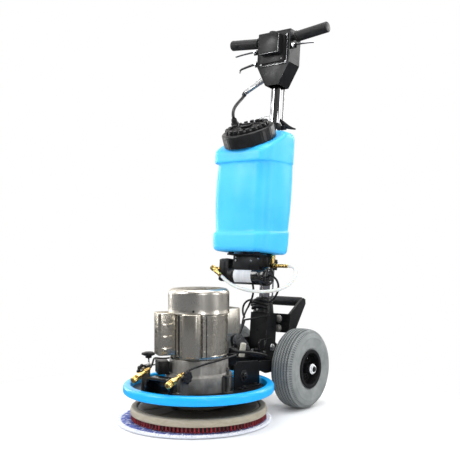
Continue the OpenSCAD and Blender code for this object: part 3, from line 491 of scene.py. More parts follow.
def rounded(r0, r1, z0, z1, radius, steps=5):
    """Closed (r, z) outline of a rounded rectangle, for a ring."""
    points = []
    corners = [(r1 - radius, z0 + radius, -90), (r1 - radius, z1 - radius, 0),
               (r0 + radius, z1 - radius, 90), (r0 + radius, z0 + radius, 180)]
    for cr, cz, start in corners:
        for k in range(steps + 1):
            a = math.radians(start + 90 * k / steps)
            points.append((cr + radius * math.cos(a), cz + radius * math.sin(a)))
    return points


def rod_profile(r, z0, z1, soft=0.6):
    """(r, z) outline of a plain cylinder with softened ends."""
    return [(0, z0), (r - soft, z0), (r - soft * 0.3, z0 + soft * 0.3), (r, z0 + soft),
            (r, z1 - soft), (r - soft * 0.3, z1 - soft * 0.3), (r - soft, z1), (0, z1)]


def bezier(p0, p1, p2, p3, steps=12):
    p0, p1, p2, p3 = (Vector(p) for p in (p0, p1, p2, p3))
    return [p0 * (1 - t) ** 3 + 3 * p1 * (1 - t) ** 2 * t + 3 * p2 * (1 - t) * t * t + p3 * t ** 3
            for t in (k / steps for k in range(steps + 1))]


def smoothstep(low, high, x):
    t = max(0.0, min(1.0, (x - low) / (high - low)))
    return t * t * (3 - 2 * t)


def dress(node, material, bevel=0.8, slots=None):
    """Gives a CAD node its material, and rounds its edges without touching its mesh."""
    obj = frame["nodes"][node]
    obj.data.materials.clear()
    obj.data.materials.append(MAT[material])
    weld = obj.modifiers.new("weld", "WELD")
    weld.merge_threshold = 0.00002
    flat = obj.modifiers.new("flat", "DECIMATE")
    flat.decimate_type = "DISSOLVE"
    flat.angle_limit = math.radians(0.6)
    if bevel > 0:
        edge = obj.modifiers.new("edge", "BEVEL")
        edge.width = bevel * MM
        edge.segments = 2
        edge.limit_method = "ANGLE"
        edge.angle_limit = math.radians(35)
        edge.miter_outer = "MITER_ARC"
        edge.harden_normals = True
    return obj


# ---------------------------------------------------------------- stage

def floor_white():
    """White floor that fades into the backdrop, and looks dark in reflections."""
    s = Shader("floor_white", (0.86, 0.86, 0.86), 0.6)
    length = s.add("ShaderNodeVectorMath", operation="LENGTH")
    s.put(length.inputs[0], s.coords)
    fade = s.remap(length.outputs["Value"], 0.42, 0.95)
    path = s.add("ShaderNodeLightPath")
    seen = s.add("ShaderNodeMixShader")
    glow = s.add("ShaderNodeEmission")
    s.put(seen.inputs[0], s.math("MULTIPLY", fade, path.outputs["Is Camera Ray"]))
    s.put(seen.inputs[1], s.bsdf.outputs[0])
    s.put(seen.inputs[2], glow.outputs[0])
    mirrored = s.add("ShaderNodeMixShader")
    dark = s.add("ShaderNodeEmission")
    dark.inputs["Color"].default_value = (0.9, 0.93, 1.0, 1)
    dark.inputs["Strength"].default_value = 0.22
    s.put(mirrored.inputs[0], path.outputs["Is Glossy Ray"])
    s.put(mirrored.inputs[1], seen.outputs[0])
    s.put(mirrored.inputs[2], dark.outputs[0])
    out = s.tree.nodes["Material Output"]
    s.tree.links.new(mirrored.outputs[0], out.inputs["Surface"])
    return s.mat


def studio():
    """Pale floor, soft lights, and the camera at the photograph's angle."""
    floor = bpy.data.objects.new("floor", bpy.data.meshes.new("floor"))
    size = 12
    floor.data.from_pydata([(-size, -size, 0), (size, -size, 0), (size, size, 0), (-size, size, 0)], [], [(0, 1, 2, 3)])
    floor.data.materials.append(floor_white())
    bpy.context.scene.collection.objects.link(floor)
    floor.location.z = -0.0004

    world = bpy.data.worlds.new("studio")
    bpy.context.scene.world = world
    world.use_nodes = True
    tree = world.node_tree
    tree.nodes.clear()
    out = tree.nodes.new("ShaderNodeOutputWorld")
    path = tree.nodes.new("ShaderNodeLightPath")
    backdrop, fill, gloom = (tree.nodes.new("ShaderNodeBackground") for k in range(3))
    for node, color, strength in ((backdrop, (1, 1, 1, 1), 1.0), (fill, (0.95, 0.97, 1, 1), 0.85),
                                  (gloom, (1.0, 0.975, 0.94, 1), 1.0)):
        node.inputs["Color"].default_value = color
        node.inputs["Strength"].default_value = strength
    # mirrors see a bright backdrop behind the machine and a dark room behind the camera
    where = tree.nodes.new("ShaderNodeTexCoord")
    facing = tree.nodes.new("ShaderNodeVectorMath")
    facing.operation = "DOT_PRODUCT"
    facing.inputs[1].default_value = (-0.58, 0.78, 0.22)
    share = tree.nodes.new("ShaderNodeMapRange")
    for socket, value in zip(share.inputs[1:5], (-0.35, 0.75, 0.07, 1.0)):
        socket.default_value = value
    # upright light and dark panels, so that round metal shows bands
    squash = tree.nodes.new("ShaderNodeMapping")
    squash.inputs["Scale"].default_value = (1, 1, 0.06)
    panels = tree.nodes.new("ShaderNodeTexNoise")
    for key, value in (("Scale", 3.4), ("Detail", 1.0), ("Roughness", 0.5)):
        panels.inputs[key].default_value = value
    band = tree.nodes.new("ShaderNodeMapRange")
    for socket, value in zip(band.inputs[1:5], (0.42, 0.58, 0.3, 1.7)):
        socket.default_value = value
    product = tree.nodes.new("ShaderNodeMath")
    product.operation = "MULTIPLY"
    tree.links.new(where.outputs["Generated"], squash.inputs[0])
    tree.links.new(squash.outputs[0], panels.inputs["Vector"])
    tree.links.new(panels.outputs["Fac"], band.inputs[0])
    tree.links.new(where.outputs["Generated"], facing.inputs[0])
    tree.links.new(facing.outputs["Value"], share.inputs[0])
    tree.links.new(share.outputs[0], product.inputs[0])
    tree.links.new(band.outputs[0], product.inputs[1])
    tree.links.new(product.outputs[0], gloom.inputs["Strength"])
    mixed = fill
    for ray, shader in (("Is Glossy Ray", gloom), ("Is Camera Ray", backdrop)):
        pick = tree.nodes.new("ShaderNodeMixShader")
        tree.links.new(path.outputs[ray], pick.inputs[0])
        tree.links.new(mixed.outputs[0], pick.inputs[1])
        tree.links.new(shader.outputs[0], pick.inputs[2])
        mixed = pick
    tree.links.new(mixed.outputs[0], out.inputs[0])

    target = Vector((0, 0.15, 0.55))
    softboxes = [
        ("key", (-1.7, -2.5, 2.4), 1.0, 1.8, 62),
        ("fill", (2.6, -1.9, 1.5), 0.35, 2.0, 20),
        ("side", (2.6, 0.9, 1.2), 0.5, 1.8, 16),
        ("strip", (-2.6, 0.1, 1.1), 0.4, 2.0, 22),
        ("top", (0.2, 0.1, 3.2), 2.2, 2.2, 62),
        ("rim", (0.8, 2.6, 1.8), 1.4, 1.0, 22),
    ]
    for name, place, width, height, power in softboxes:
        light = bpy.data.lights.new(name, "AREA")
        light.shape = "RECTANGLE"
        light.size, light.size_y = width, height
        light.energy = power
        lamp = bpy.data.objects.new(name, light)
        lamp.location = place
        lamp.rotation_euler = (target - Vector(place)).to_track_quat("-Z", "Y").to_euler()
        bpy.context.scene.collection.objects.link(lamp)

    camera = bpy.data.objects.new("camera", bpy.data.cameras.new("camera"))
    camera.data.sensor_width = 36
    camera.data.lens = 57.75
    camera.location = (1.428, -1.695, 0.536)
    camera.rotation_euler = Vector((-0.6115, 0.7911, 0.0149)).to_track_quat("-Z", "Y").to_euler()
    bpy.context.scene.collection.objects.link(camera)
    bpy.context.scene.camera = camera
    bpy.context.scene.view_settings.view_transform = "Standard"


studio()


# ---------------------------------------------------------------- CAD nodes that keep their shape

KEPT = {
    "deck": ("black_steel", 0.8), "gear_housing": ("cast_housing", 1.5), "ring_gear": ("gear_steel", 0),
    "motor_stator": ("copper", 0.5), "capacitors": ("grey_plastic", 0.8), "pivot_cheeks": ("black_steel", 0.6),
    "head_brackets": ("cast_bracket", 0.5), "head_bearings": ("gear_steel", 0.3),
    "planet_carrier": ("gear_steel", 0.6), "clutch_plate": ("clutch_plastic", 0.8),
    "motor_rotor": ("gear_steel", 0.4), "motor_fan": ("black_plastic", 0.4),
    "planet_gear_a": ("gear_steel", 0), "planet_gear_b": ("gear_steel", 0), "planet_gear_c": ("gear_steel", 0),
    "carriage_frame": ("black_steel", 0.9), "axle": ("zinc_hardware", 0.5),
    "carriage_hardware": ("zinc_hardware", 0.5), "lock_plunger": ("zinc_hardware", 0.5),
    "rim_left": ("black_rim", 0.8), "rim_right": ("black_rim", 0.8), "handle_column": ("black_steel", 1.4),
    "grab_handle": ("black_steel", 1.2), "control_box": ("black_steel", 1.4), "grip_bar": ("zinc_hardware", 0.5),
}


def keep_nodes():
    for node, (material, bevel) in KEPT.items():
        dress(node, material, bevel)


# ---------------------------------------------------------------- scrubbing head

def bumper():
    """Blue D-section bumper pressed over the deck's edge."""
    m = Mesh()
    turns = [(206.4, 111.5, 180, 90, 4.0), (215.4, 105.5, 90, 0, 10.0), (217.4, 96.5, 0, -90, 8.0),
             (206.4, 92.5, -90, -180, 4.0)]
    profile = [(202.4, 96.3)]
    for cr, cz, start, stop, r in turns:
        for k in range(9):
            a = math.radians(start + (stop - start) * k / 8)
            profile.append((cr + r * math.cos(a), cz + r * math.sin(a)))
    profile += [(202.4, 90.8), (206.0, 90.8), (206.0, 96.3)]
    m.revolve(profile, 220, closed=True)
    return m.done("bumper_ring_soft", "blue_bumper", "head", "bumper_ring")


def arc_plate(m, r0, r1, a0, a1, z0, z1, soft=0.4, n=24):
    """A sheet bent round Z between two azimuths, in degrees."""
    outline = [(r0, z0 + soft), (r0 + soft, z0), (r1 - soft, z0), (r1, z0 + soft),
               (r1, z1 - soft), (r1 - soft, z1), (r0 + soft, z1), (r0, z1 - soft)]
    rows = []
    for k in range(n + 1):
        a = math.radians(a0 + (a1 - a0) * k / n)
        rows.append([(r * math.cos(a), r * math.sin(a), z) for r, z in outline])
    made = m.grid(rows)
    m.bm.faces.new(reversed(made[0]))
    m.bm.faces.new(made[-1])


def dome_screw(m, at, r=4.0, h=2.2):
    """A pan-head screw with a cross recess, standing along +Z of at."""
    steps = [(0, h * 0.55), (r * 0.30, h * 0.55), (r * 0.36, h), (r * 0.7, h * 0.86), (r, h * 0.3), (r, 0), (0, 0)]
    m.revolve(steps, 20, at)


def motor_shell():
    """Stainless can with a wrapped jacket, rolled beads and two seam straps."""
    m = Mesh()
    profile = [(0, 190.2), (80, 190.2), (83, 190.6), (84, 192), (84, 197), (84.8, 198.2), (84.8, 200.8),
               (84, 202), (84, 262), (84, 314), (84.8, 315.2), (84.8, 317.8), (84, 319), (84, 324),
               (83, 324.8), (0, 324.8)]
    m.revolve(profile, 160)
    for a0, a1 in ((318, 336), (337, 409), (106, 206), (262, 275)):
        arc_plate(m, 83.6, 85.4, a0, a1, 203, 316, n=int(abs(a1 - a0) / 2))
    for azimuth in (327, 341):
        for z in (214, 262, 305):
            spot = rot(math.radians(azimuth), "Z") @ move(84.8, 0, z) @ ALONG_X
            dome_screw(m, spot, 2.6, 1.6)
    return m.done("motor_can", "stainless", "head", "motor_shell")


def motor_cap():
    """Drawn fan cap: rolled skirt, generous shoulder, two rings of slots sunk in the crown, with black plates on their
    floors as painted shade of the openings.
    """
    m = Mesh()
    n = 120
    profile = [(0, 322), (88, 322), (90.6, 321.3), (92, 322.4), (92, 325), (91.3, 326.5)]
    profile += [(91.3, 326.5 + k * 10.5) for k in range(1, 6)]
    profile += [(77.2 + 14.1 * math.cos(math.radians(a)), 380.3 + 14.2 * math.sin(math.radians(a)))
                for a in range(0, 91, 9)]
    crown = [72, 66.5, 55.5, 52, 41, 38, 24, 8]
    profile += [(r, 394.5 + 1.5 * (1 - (r / 77) ** 2)) for r in crown]
    profile.append((0, 396))
    m.revolve(profile, n)
    m.bm.faces.ensure_lookup_table()
    slots = []
    for f in m.bm.faces:
        c = f.calc_center_median() / MM
        r = math.hypot(c.x, c.y)
        turn = int(math.degrees(math.atan2(c.y, c.x)) % 360 / 3)
        if c.z > 390 and (55.5 < r < 66.5 or 41 < r < 52) and turn % 4 in (0, 1):
            slots.append(f)
    bmesh.ops.inset_region(m.bm, faces=slots, thickness=0.0006, depth=0)
    sunk = set(v for f in slots for v in f.verts)
    for v in sunk:
        v.co.z -= 0.0030
    m.done("motor_fan_cap", "stainless_cap", "head", "motor_cap", slot="stainless")
    # painted shade: black plates on the slot floors stand in for the dark openings over the fan
    dark = Mesh()
    for k in range(30):
        arc_plate(dark, 56.6, 65.4, 12 * k + 0.7, 12 * k + 5.3, 392.1, 392.6, 0.1, 3)
        arc_plate(dark, 42.1, 50.9, 12 * k + 0.9, 12 * k + 5.1, 392.5, 393.0, 0.1, 3)
    return dark.done("motor_cap_vent_shade", "black_plastic", "head", slot="stainless")


def capacitor_covers():
    """Folded stainless covers with soft corners and screwed side flanges; one is louvred. Black strips beside the
    flanges are painted shade for the gaps between the covers and the can.
    """
    m = Mesh()
    gaps = Mesh()
    for azimuth, width, reach, low, high in ((235, 66, 131, 202, 326), (297, 56, 112, 198, 325),
                                             (77, 70, 139, 252, 331)):
        vents = azimuth == 235
        turn = rot(math.radians(azimuth), "Z")
        h = width / 2
        ch = 9 if vents else 12
        root_v = math.sqrt(84.0 ** 2 - h * h) - 1.5
        outline = [(root_v, -h), (reach - ch, -h)]
        outline += [(reach - ch * 0.3, -h + ch * 0.3), (reach, -h + ch), (reach, h - ch),
                    (reach - ch * 0.3, h - ch * 0.3), (reach - ch, h), (root_v, h)]
        m.prism(outline, low, high, 3.2, turn, 3, 20)
        edge = math.degrees(math.asin(h / 84))
        for side in (-1, 1):
            a0, a1 = sorted((azimuth + side * (edge - 2), azimuth + side * (edge + 7.5)))
            arc_plate(m, 85.0, 86.3, a0, a1, low + 3, 317, n=8)
            # painted shade: black strips stand in for the shadow gaps beside each flange and at the cover's root
            b0, b1 = sorted((azimuth + side * (edge + 7.6), azimuth + side * (edge + 9.4)))
            arc_plate(gaps, 84.4, 86.6, b0, b1, low + 1, 318, n=3)
            b0, b1 = sorted((azimuth + side * (edge - 0.4), azimuth + side * (edge + 0.9)))
            arc_plate(gaps, 84.4, 86.9, b0, b1, low + 1, 319, n=3)
            for z in (max(low + 12, 214), 304):
                spot = rot(math.radians(azimuth + side * (edge + 4.5)), "Z") @ move(86.0, 0, z) @ ALONG_X
                dome_screw(m, spot, 2.8, 1.8)
        if vents:
            middle = (root_v + reach) / 2 + 2
            for z in (223, 258, 293):
                face = turn @ move(middle, h, z)
                rows = []
                for k in range(9):
                    s = k / 8
                    swell = math.sin(math.pi * s)
                    x = -15 + 30 * s
                    rows.append([(x, -0.6, -2.4), (x, 0.2 + 2.4 * swell ** 0.6, -2.2),
                                 (x, 0.3 + 2.3 * swell ** 0.6, -1.2), (x, 0.1 + 0.9 * swell, 2.6), (x, -0.6, 3.0)])
                made = m.grid(rows, at=face)
                m.bm.faces.new(made[0])
                m.bm.faces.new(reversed(made[-1]))
    m.done("capacitor_housings", "stainless", "head", "capacitor_covers")
    return gaps.done("cover_gap_shade", "black_rubber", "head", slot="stainless")


def junction_box():
    """Terminal box with a screwed lid and two cable glands."""
    m = Mesh()
    turn = rot(math.radians(232), "Z")
    m.block((93, -28, 147), (122, 28, 183), 1.6, turn)
    m.block((121, -30, 146), (127, 30, 185), 1.2, turn)
    for y in (-24, 24):
        for z in (151, 178):
            dome_screw(m, turn @ move(126.8, y, z) @ ALONG_X, 2.6, 1.4)
    for x in (101, 113):
        m.revolve(rod_profile(6, -4, 10, 0.8), 24, turn @ move(x, -27, 164) @ rot(math.pi / 2, "X"))
    return m.done("terminal_box", "black_plastic", "head", "junction_box")


def knurl(count, depth):
    """A radius rule that cuts fine flutes round a turned part."""
    return lambda a, r, z: r * (1 - depth * (0.5 + 0.5 * math.cos(a * count)))


def hexagon(a, r, z):
    """A radius rule that flattens a turned part to a hexagon."""
    return r * math.cos(math.pi / 6) / math.cos((a + math.pi / 6) % (math.pi / 3) - math.pi / 6)


def spray_jets():
    """Brass jets: knurled nozzle nut, necked body, hexagon and hose tail."""
    m = Mesh()
    for x in (-66, 66):
        axis = move(x, -145, 166) @ rot(math.radians(90 + 20), "X") @ move(0, 0, 33)
        nut = [(0, 35), (2.6, 35), (3.0, 38.4), (6.4, 38.8), (8.6, 37.8), (9.5, 35), (9.5, 24), (8.6, 22.6), (0, 22.6)]
        m.revolve(nut, 120, axis, knurl(30, 0.06))
        m.revolve([(0, 23), (7.4, 23), (7.4, 20), (0, 20)], 40, axis)
        m.revolve([(0, 20.6), (9.8, 20.6), (10.8, 19.6), (10.8, 10.4), (9.8, 9.4), (0, 9.4)], 60, axis, hexagon)
        m.revolve([(0, 10), (8.2, 10), (8.2, 2.4), (6.4, 1.2), (0, 1.2)], 40, axis)
        m.revolve([(0, 2), (5.0, 2), (5.0, -13), (6.2, -14), (0, -14)], 40, axis)
        m.revolve([(0, -13.6), (7.2, -13.6), (8.0, -14.4), (8.0, -25), (7.2, -26), (0, -26)], 60, axis, hexagon)
        m.revolve([(0, -25.6), (4.4, -25.6), (4.4, -35), (3.2, -36), (0, -36)], 32, axis)
    return m.done("brass_jets", "brass", "head", "spray_jets")


def lobed(count, depth):
    """A radius rule that scallops a turned part into lobes."""
    return lambda a, r, z: r * (1 - depth * (0.5 - 0.5 * math.cos(a * count)) ** 1.6)


def jet_knobs():
    """Lobed hand knobs on the jet valves."""
    for side, name, body in ((-1, "left", "jet_valve_left"), (1, "right", "jet_valve_right")):
        m = Mesh(move(side * 82.5, -153, 160) @ rot(side * math.pi / 2, "Y"))
        grip = [(0, 1.0), (12, 0.6), (17.5, 1.0), (19.2, 2.6), (19.6, 5), (18.8, 8), (16.5, 9.8),
                (10, 10.2), (8.6, 9.6), (7.4, 10.6), (0, 11)]
        m.revolve(grip, 144, shape=lambda a, r, z: lobed(8, 0.16)(a, r, z) if r > 13 else r)
        m.done("jet_knob_%s_lobed" % name, "black_plastic", body, "jet_knob_" + name)
        s = Mesh(move(side * 82.5, -153, 160) @ rot(side * math.pi / 2, "Y"))
        s.revolve([(0, -9), (3, -9), (3, -3), (10.5, -3), (11.5, -2.2), (11.5, 0.2), (10.5, 0.9), (0, 0.9)], 48)
        s.done("jet_collar_" + name, "zinc_hardware", body)


def clamp_knob():
    """T-bar clamp knob on its plated screw."""
    m = Mesh(move(-120, -91, 0))
    m.revolve([(0, 186), (8, 186), (9.5, 187.2), (9.5, 192), (15, 194), (21, 196.5), (22, 199), (20.5, 202),
               (13, 204), (0, 204.2)], 120, shape=lambda a, r, z: lobed(3, 0.3)(a, r, z) if r > 14 else r)
    m.done("clamp_knob_lobed", "black_plastic", "clamp_screw", "clamp_knob")
    s = Mesh(move(-120, -91, 0))
    ridges = [(0, 150)]
    for k in range(18):
        ridges += [(2.6, 150.2 + k * 2.0), (3.1, 151.2 + k * 2.0)]
    s.revolve(ridges + [(2.6, 187), (0, 187)], 24)
    s.done("clamp_screw_stem", "zinc_hardware", "clamp_screw")


def spray_hoses():
    """Black feed lines from the manifold to the jets."""
    m = Mesh()
    right = bezier((66, -142, 167), (67, -114, 178), (93, -75, 188), (103, -30, 193), 16)
    right += bezier((103, -30, 193), (108, -5, 196), (107, 30, 199), (98, 55, 197), 10)[1:]
    left = bezier((-66, -142, 167), (-70, -116, 182), (-108, -92, 190), (-113, -58, 182), 16)
    left += bezier((-113, -58, 182), (-116, -8, 170), (-108, 40, 180), (-92, 62, 186), 12)[1:]
    for line in (right, left):
        m.sweep(line, 2.8, 16)
    return m.done("spray_lines", "black_rubber", "head", "spray_hoses")


# ---------------------------------------------------------------- driver, brush and bonnet

def driver_block():
    """Structural-foam block: rolled outer lip, groove, and a dished top inside it in darker plastic, which paints the
    recess's shade.
    """
    m = Mesh()
    profile = [(0, 27.2), (196, 27.2), (201, 27.8), (203, 29.5), (203.5, 32), (203.3, 38), (202.8, 43),
               (201.6, 46.6), (199, 48.6), (196, 49), (186.5, 49), (184.6, 48.2), (184, 46), (182.8, 43.6),
               (180.8, 43.2), (179.4, 44.6), (150, 44.6), (90, 44.6), (86, 44.6), (86, 30), (0, 30)]
    m.revolve(profile, 200)
    m.done("driver_foam", "tan_block", "driver", "driver_block")
    # painted shade: the dish is made in the darker clutch plastic to show the shade of the recess
    d = Mesh()
    dish = [(88, 44.9), (178.2, 44.9), (178.4, 46.4), (177, 47.4), (172, 47.8), (150, 47.0), (118, 48.2), (114, 48.2),
            (110, 47.4), (90, 47.6), (88, 47)]
    d.revolve(dish, 160, closed=True)
    for k in range(12):
        turn = rot(TAU * k / 12, "Z")
        d.block((116, -2.2, 46.6), (172, 2.2, 48.9), 0.8, turn)
    d.done("driver_dish", "clutch_plastic", "driver")
    # painted shade: a black rubber disc inside the two tuft rows stands in for the shaded inner tufts
    b = Mesh()
    b.revolve(rounded(60, 193.5, 13.6, 27.1, 1.0), 120, closed=True)
    b.done("bristle_shade_core", "black_rubber", "driver", slot="red_bristle")


def bristles():
    """Nylon tufts: each drilled hole holds a splayed bundle of filaments."""
    m = Mesh()
    tones = []
    rings = [(198.8, 108, 10), (191.5, 108, 5)]
    for radius, count, strands in rings:
        for k in range(count):
            a = TAU * (k + 0.5 * (radius < 195)) / count
            root = Vector((radius * math.cos(a), radius * math.sin(a), 27.4))
            tuft_tone = rng.uniform(0.1, 0.9)
            lean = Vector((-math.sin(a), math.cos(a), 0)) * rng.uniform(-0.5, 0.5)
            for s in range(strands):
                b = TAU * s / (strands - 1) + rng.uniform(-0.3, 0.3)
                out = Vector((math.cos(b), math.sin(b), 0)) * (0.1 if s == 0 else 1.0)
                mid = root + out * 1.5 + lean * 0.5 + Vector((0, 0, -7))
                tip = root + out * rng.uniform(1.7, 2.5) + lean + Vector((0, 0, -14.8 + rng.uniform(0, 0.6)))
                before = len(m.bm.verts)
                m.sweep([root + out * 1.1, mid, tip], 0.9, 5)
                tones += [min(1, max(0, tuft_tone + rng.uniform(-0.25, 0.25)))] * (len(m.bm.verts) - before)
    return m.done("nylon_tufts", "red_bristle", "driver", "brush_bristles", tones=tones)


BONNET_AT = move(-21, 3, 0)


def bonnet_base():
    """Padded backing of the bonnet: a quilted crown and a rolled, overcast rim."""
    m = Mesh(BONNET_AT)
    profile = [(0, 0.3), (60, 0.3), (120, 0.3), (180, 0.3), (215, 0.3), (226, 0.5), (230.5, 1.6), (232.6, 3.6),
               (232.2, 5.8), (229.5, 7.4), (225, 7.6), (221, 6.6), (216, 6.2), (205, 7.2), (190, 7.0), (150, 7.4),
               (100, 7.6), (50, 7.6), (0, 7.6)]

    def wavy(a, r, z):
        if r < 150 or z < 0.4:
            return r
        ripple = noise.noise(Vector((math.cos(a) * 9, math.sin(a) * 9, 3.1)))
        stitch = 0.5 * math.cos(a * 150)
        return r + 1.1 * ripple * smoothstep(200, 230, r) + stitch * smoothstep(222, 232, r) * 0.7

    m.revolve(profile, 900, shape=wavy)
    return m.done("bonnet_backing", "bonnet_white", "driver", "bonnet_pad", slot="bonnet_yarn")


def bonnet_loops():
    """Twisted yarn loops that stand round the pad, blue with white flecks."""
    m = Mesh(BONNET_AT)
    tones = []

    def yarn(radius, a, length, swing, lift, thick, tone):
        start = Vector((radius * math.cos(a), radius * math.sin(a), 6.0))
        out = Vector((math.cos(a + swing), math.sin(a + swing), 0))
        side = Vector((-out.y, out.x, 0))
        points = []
        for k in range(8):
            s = k / 7
            height = lift * math.sin(math.pi * min(1, s * 1.08)) ** 0.8
            points.append(start + out * length * s + side * 1.6 * math.sin(s * 5 + a * 40) + Vector((0, 0, height)))
        before = len(m.bm.verts)
        m.sweep(points, lambda s: thick * (0.72 + 0.28 * math.sin(math.pi * s)) * (1 + 0.10 * math.sin(s * 44)), 7)
        tones.extend([tone] * (len(m.bm.verts) - before))

    for ring, count, low, high in ((186, 230, 19, 25), (194, 260, 18, 24), (202, 290, 15, 19)):
        for k in range(count):
            a = TAU * (k + rng.random() * 0.6) / count
            pick = rng.random()
            tone = 2.0 if pick < 0.02 else (0.9 if pick < 0.08 else rng.uniform(0.0, 0.3))
            yarn(ring, a, rng.uniform(low, high), rng.uniform(-0.3, 0.1), rng.uniform(2.0, 3.6), 1.7, tone)
    for ring, count in ((217.5, 400), (223.5, 420)):
        for k in range(count):
            a = TAU * (k + rng.random() * 0.5) / count
            tone = rng.uniform(0.85, 1.1)
            yarn(ring, a, rng.uniform(7, 9), rng.uniform(-0.35, 0.1), rng.uniform(1.6, 2.4), 1.6, tone)
    return m.done("bonnet_loops", "bonnet_yarn", "driver", "bonnet_pad", tones=tones, angle=80)


def front_guard():
    """Rounded black hood over the valve fittings, between the jets."""
    m = Mesh(rot(math.pi / 2, "X"))
    outer, inner = [], []
    for side, cx in ((1, 22), (-1, -30)):
        for k in range(9):
            a = math.radians(10 * k + 5 if side > 0 else 90 + 10 * k + 5)
            outer.append((cx + 22 * math.cos(a), 130 + 22 * math.sin(a)))
            inner.append((cx + 15 * math.cos(a), 128 + 15 * math.sin(a)))
    outline = [(44, 96.2)] + outer + [(-52, 96.2), (-45, 96.2)] + inner[::-1] + [(37, 96.2)]
    m.prism(outline, 146, 178, 2.0)
    m.block((-46, 96.2, 146), (38, 144, 151), 1.0)
    m.block((44, 96.2, 148), (60, 112, 174), 2.0)
    m.revolve(rod_profile(7, 148, 174, 1.2), 32, move(52, 108, 0))
    return m.done("front_hood", "black_gloss", "head", "front_guard")


def head_bolts():
    """Float bolts with washers and nuts, deck screws and the cap's screws."""
    m = Mesh()
    ring = Mesh()
    for side in (-1, 1):
        out = move(0, 89, 130.5) @ rot(side * math.pi / 2, "Y")
        m.revolve(rod_profile(8, 80.4, 101.6, 0.6), 40, out)
        m.revolve([(0, 80), (13, 80), (13.6, 80.6), (13.6, 83.4), (13, 84), (0, 84)], 48, out, hexagon)
        m.revolve([(0, 102.6), (9.4, 102.6), (10.6, 103.6), (10.6, 108), (9.4, 109), (5.4, 109), (5.2, 112), (4.6, 113),
                   (0, 113)], 48, out, lambda a, r, z: hexagon(a, r, z) if r > 6 and z < 110 else r)
        ring.revolve([(8.2, 101.7), (17.6, 101.7), (18.4, 102.4), (17.6, 103.6), (8.2, 104)], 56, out, closed=True)
        for y in (76, 136):
            m.revolve([(0, 99.1), (9, 99.1), (9, 100.2), (6.6, 100.4), (6.4, 104), (5.6, 104.8), (0, 104.8)], 36,
                      move(side * 112, y, 0), lambda a, r, z: hexagon(a, r, z) if r < 8 else r)
    for azimuth in (22, 112, 202, 300):
        dome_screw(m, rot(math.radians(azimuth), "Z") @ move(91.2, 0, 333) @ ALONG_X, 3.4, 2.0)
    m.done("head_fasteners", "black_steel", "head", "head_bolts", slot="zinc_hardware")
    return ring.done("float_rings", "black_rubber", "head")


# ---------------------------------------------------------------- carriage and wheels

def tyre(side, name):
    """Grey foam tyre: six zig-zag grooves, sipes on the shoulders and a moulded sidewall ridge; groove floors and sipes
    get a low tone as painted shade.
    """
    centre = move(side * 145.3, 339, 126.3) @ ALONG_X
    around, zigs = 768, 96
    grooves = [-25, -15, -5, 5, 15, 25]
    profile = []          # (across, radius, how far it follows the zig-zag, is it a shoulder rib)
    for u in grooves:
        crown = lambda x: 126.3 - 3.2 * (x / 34) ** 2 - 2.2 * (abs(x) / 34) ** 6
        profile += [(u - 2.1, crown(u - 2.1), 1, 0), (u - 1.5, crown(u) - 1.9, 1, 0),
                    (u + 1.5, crown(u) - 1.9, 1, 0), (u + 2.1, crown(u + 2.1), 1, 0)]
        if u < 25:
            profile.append((u + 5, crown(u + 5), 1, 0))
    right = [(31.5, 120.6, 0, 0), (32.0, 119.8, 0, 1), (35.0, 117.6, 0, 1), (37.6, 114.6, 0, 1), (38.4, 113.4, 0, 0),
             (40.4, 109.6, 0, 0), (41.6, 105.4, 0, 0), (42.0, 101.6, 0, 0), (42.9, 100.4, 0, 0), (42.9, 98.6, 0, 0),
             (42.2, 97.4, 0, 0), (42.4, 90, 0, 0), (41.6, 80, 0, 0), (39.4, 71, 0, 0), (38.4, 68.6, 0, 0),
             (37.6, 66.2, 0, 0), (36.0, 63.6, 0, 0), (33.0, 62.0, 0, 0), (32.0, 61.0, 0, 0), (32.0, 55.4, 0, 0)]
    left = [(-u, r, z, k) for u, r, z, k in reversed(right)]
    profile = left + profile + right
    rows = []
    tones = []
    floor_of = [126.3 - 3.2 * (u / 34) ** 2 - 2.2 * (abs(u) / 34) ** 6 - 1.8 for u in grooves]
    for u, r, zig, rib in profile:
        row = []
        sunk = zig and any(abs(u - g) < 1.6 and r < f for g, f in zip(grooves, floor_of))
        for i in range(around):
            a = TAU * i / around
            phase = (i * zigs / around) % 1
            wave = abs(phase * 2 - 1) * 2 - 1
            across = u + 2.0 * wave * zig
            deep = 1.5 if rib and phase < 0.375 else 0
            row.append(((r - deep) * math.cos(a), (r - deep) * math.sin(a), across))
            # painted shade: groove floors get tone 0, sipes 0.25, the rest of the tread 1
            tones.append(0.0 if sunk else (0.25 if deep else 1.0))
        rows.append(row)
    m = Mesh()
    m.grid(rows, close_rows=True, at=centre)
    return m.done("tyre_%s_treaded" % name, "grey_tyre", "wheel_" + name, "tyre_" + name, tones=tones)


def rim_details(side, name):
    """Pressed ribs, bright-lipped vent holes and a ring nut on the outer face of a wheel."""
    face = move(side * 145.3, 339, 126.3) @ rot(side * math.pi / 2, "Y")
    m = Mesh()
    m.revolve(rounded(46, 53, 4, 8.5, 1.2), 96, face, closed=True)
    m.revolve(rounded(24.2, 29, 4, 11, 1.5), 72, face, closed=True)
    for k in range(8):
        spoke = face @ rot(TAU * (k + 0.5) / 8, "Z")
        m.block((27, -3.2, 3.6), (47.5, 3.2, 8.0), 1.4, spoke)
    m.done("rim_ribs_" + name, "black_rim", "wheel_" + name, slot="black_rim")
    b = Mesh()
    for k in range(8):
        hole = face @ rot(TAU * k / 8, "Z") @ move(38, 0, 0)
        b.revolve(rounded(5.6, 7.0, 3.9, 5.2, 0.4, 3), 28, hole, closed=True)
    b.done("rim_grommets_" + name, "zinc_hardware", "wheel_" + name, slot="black_rim")


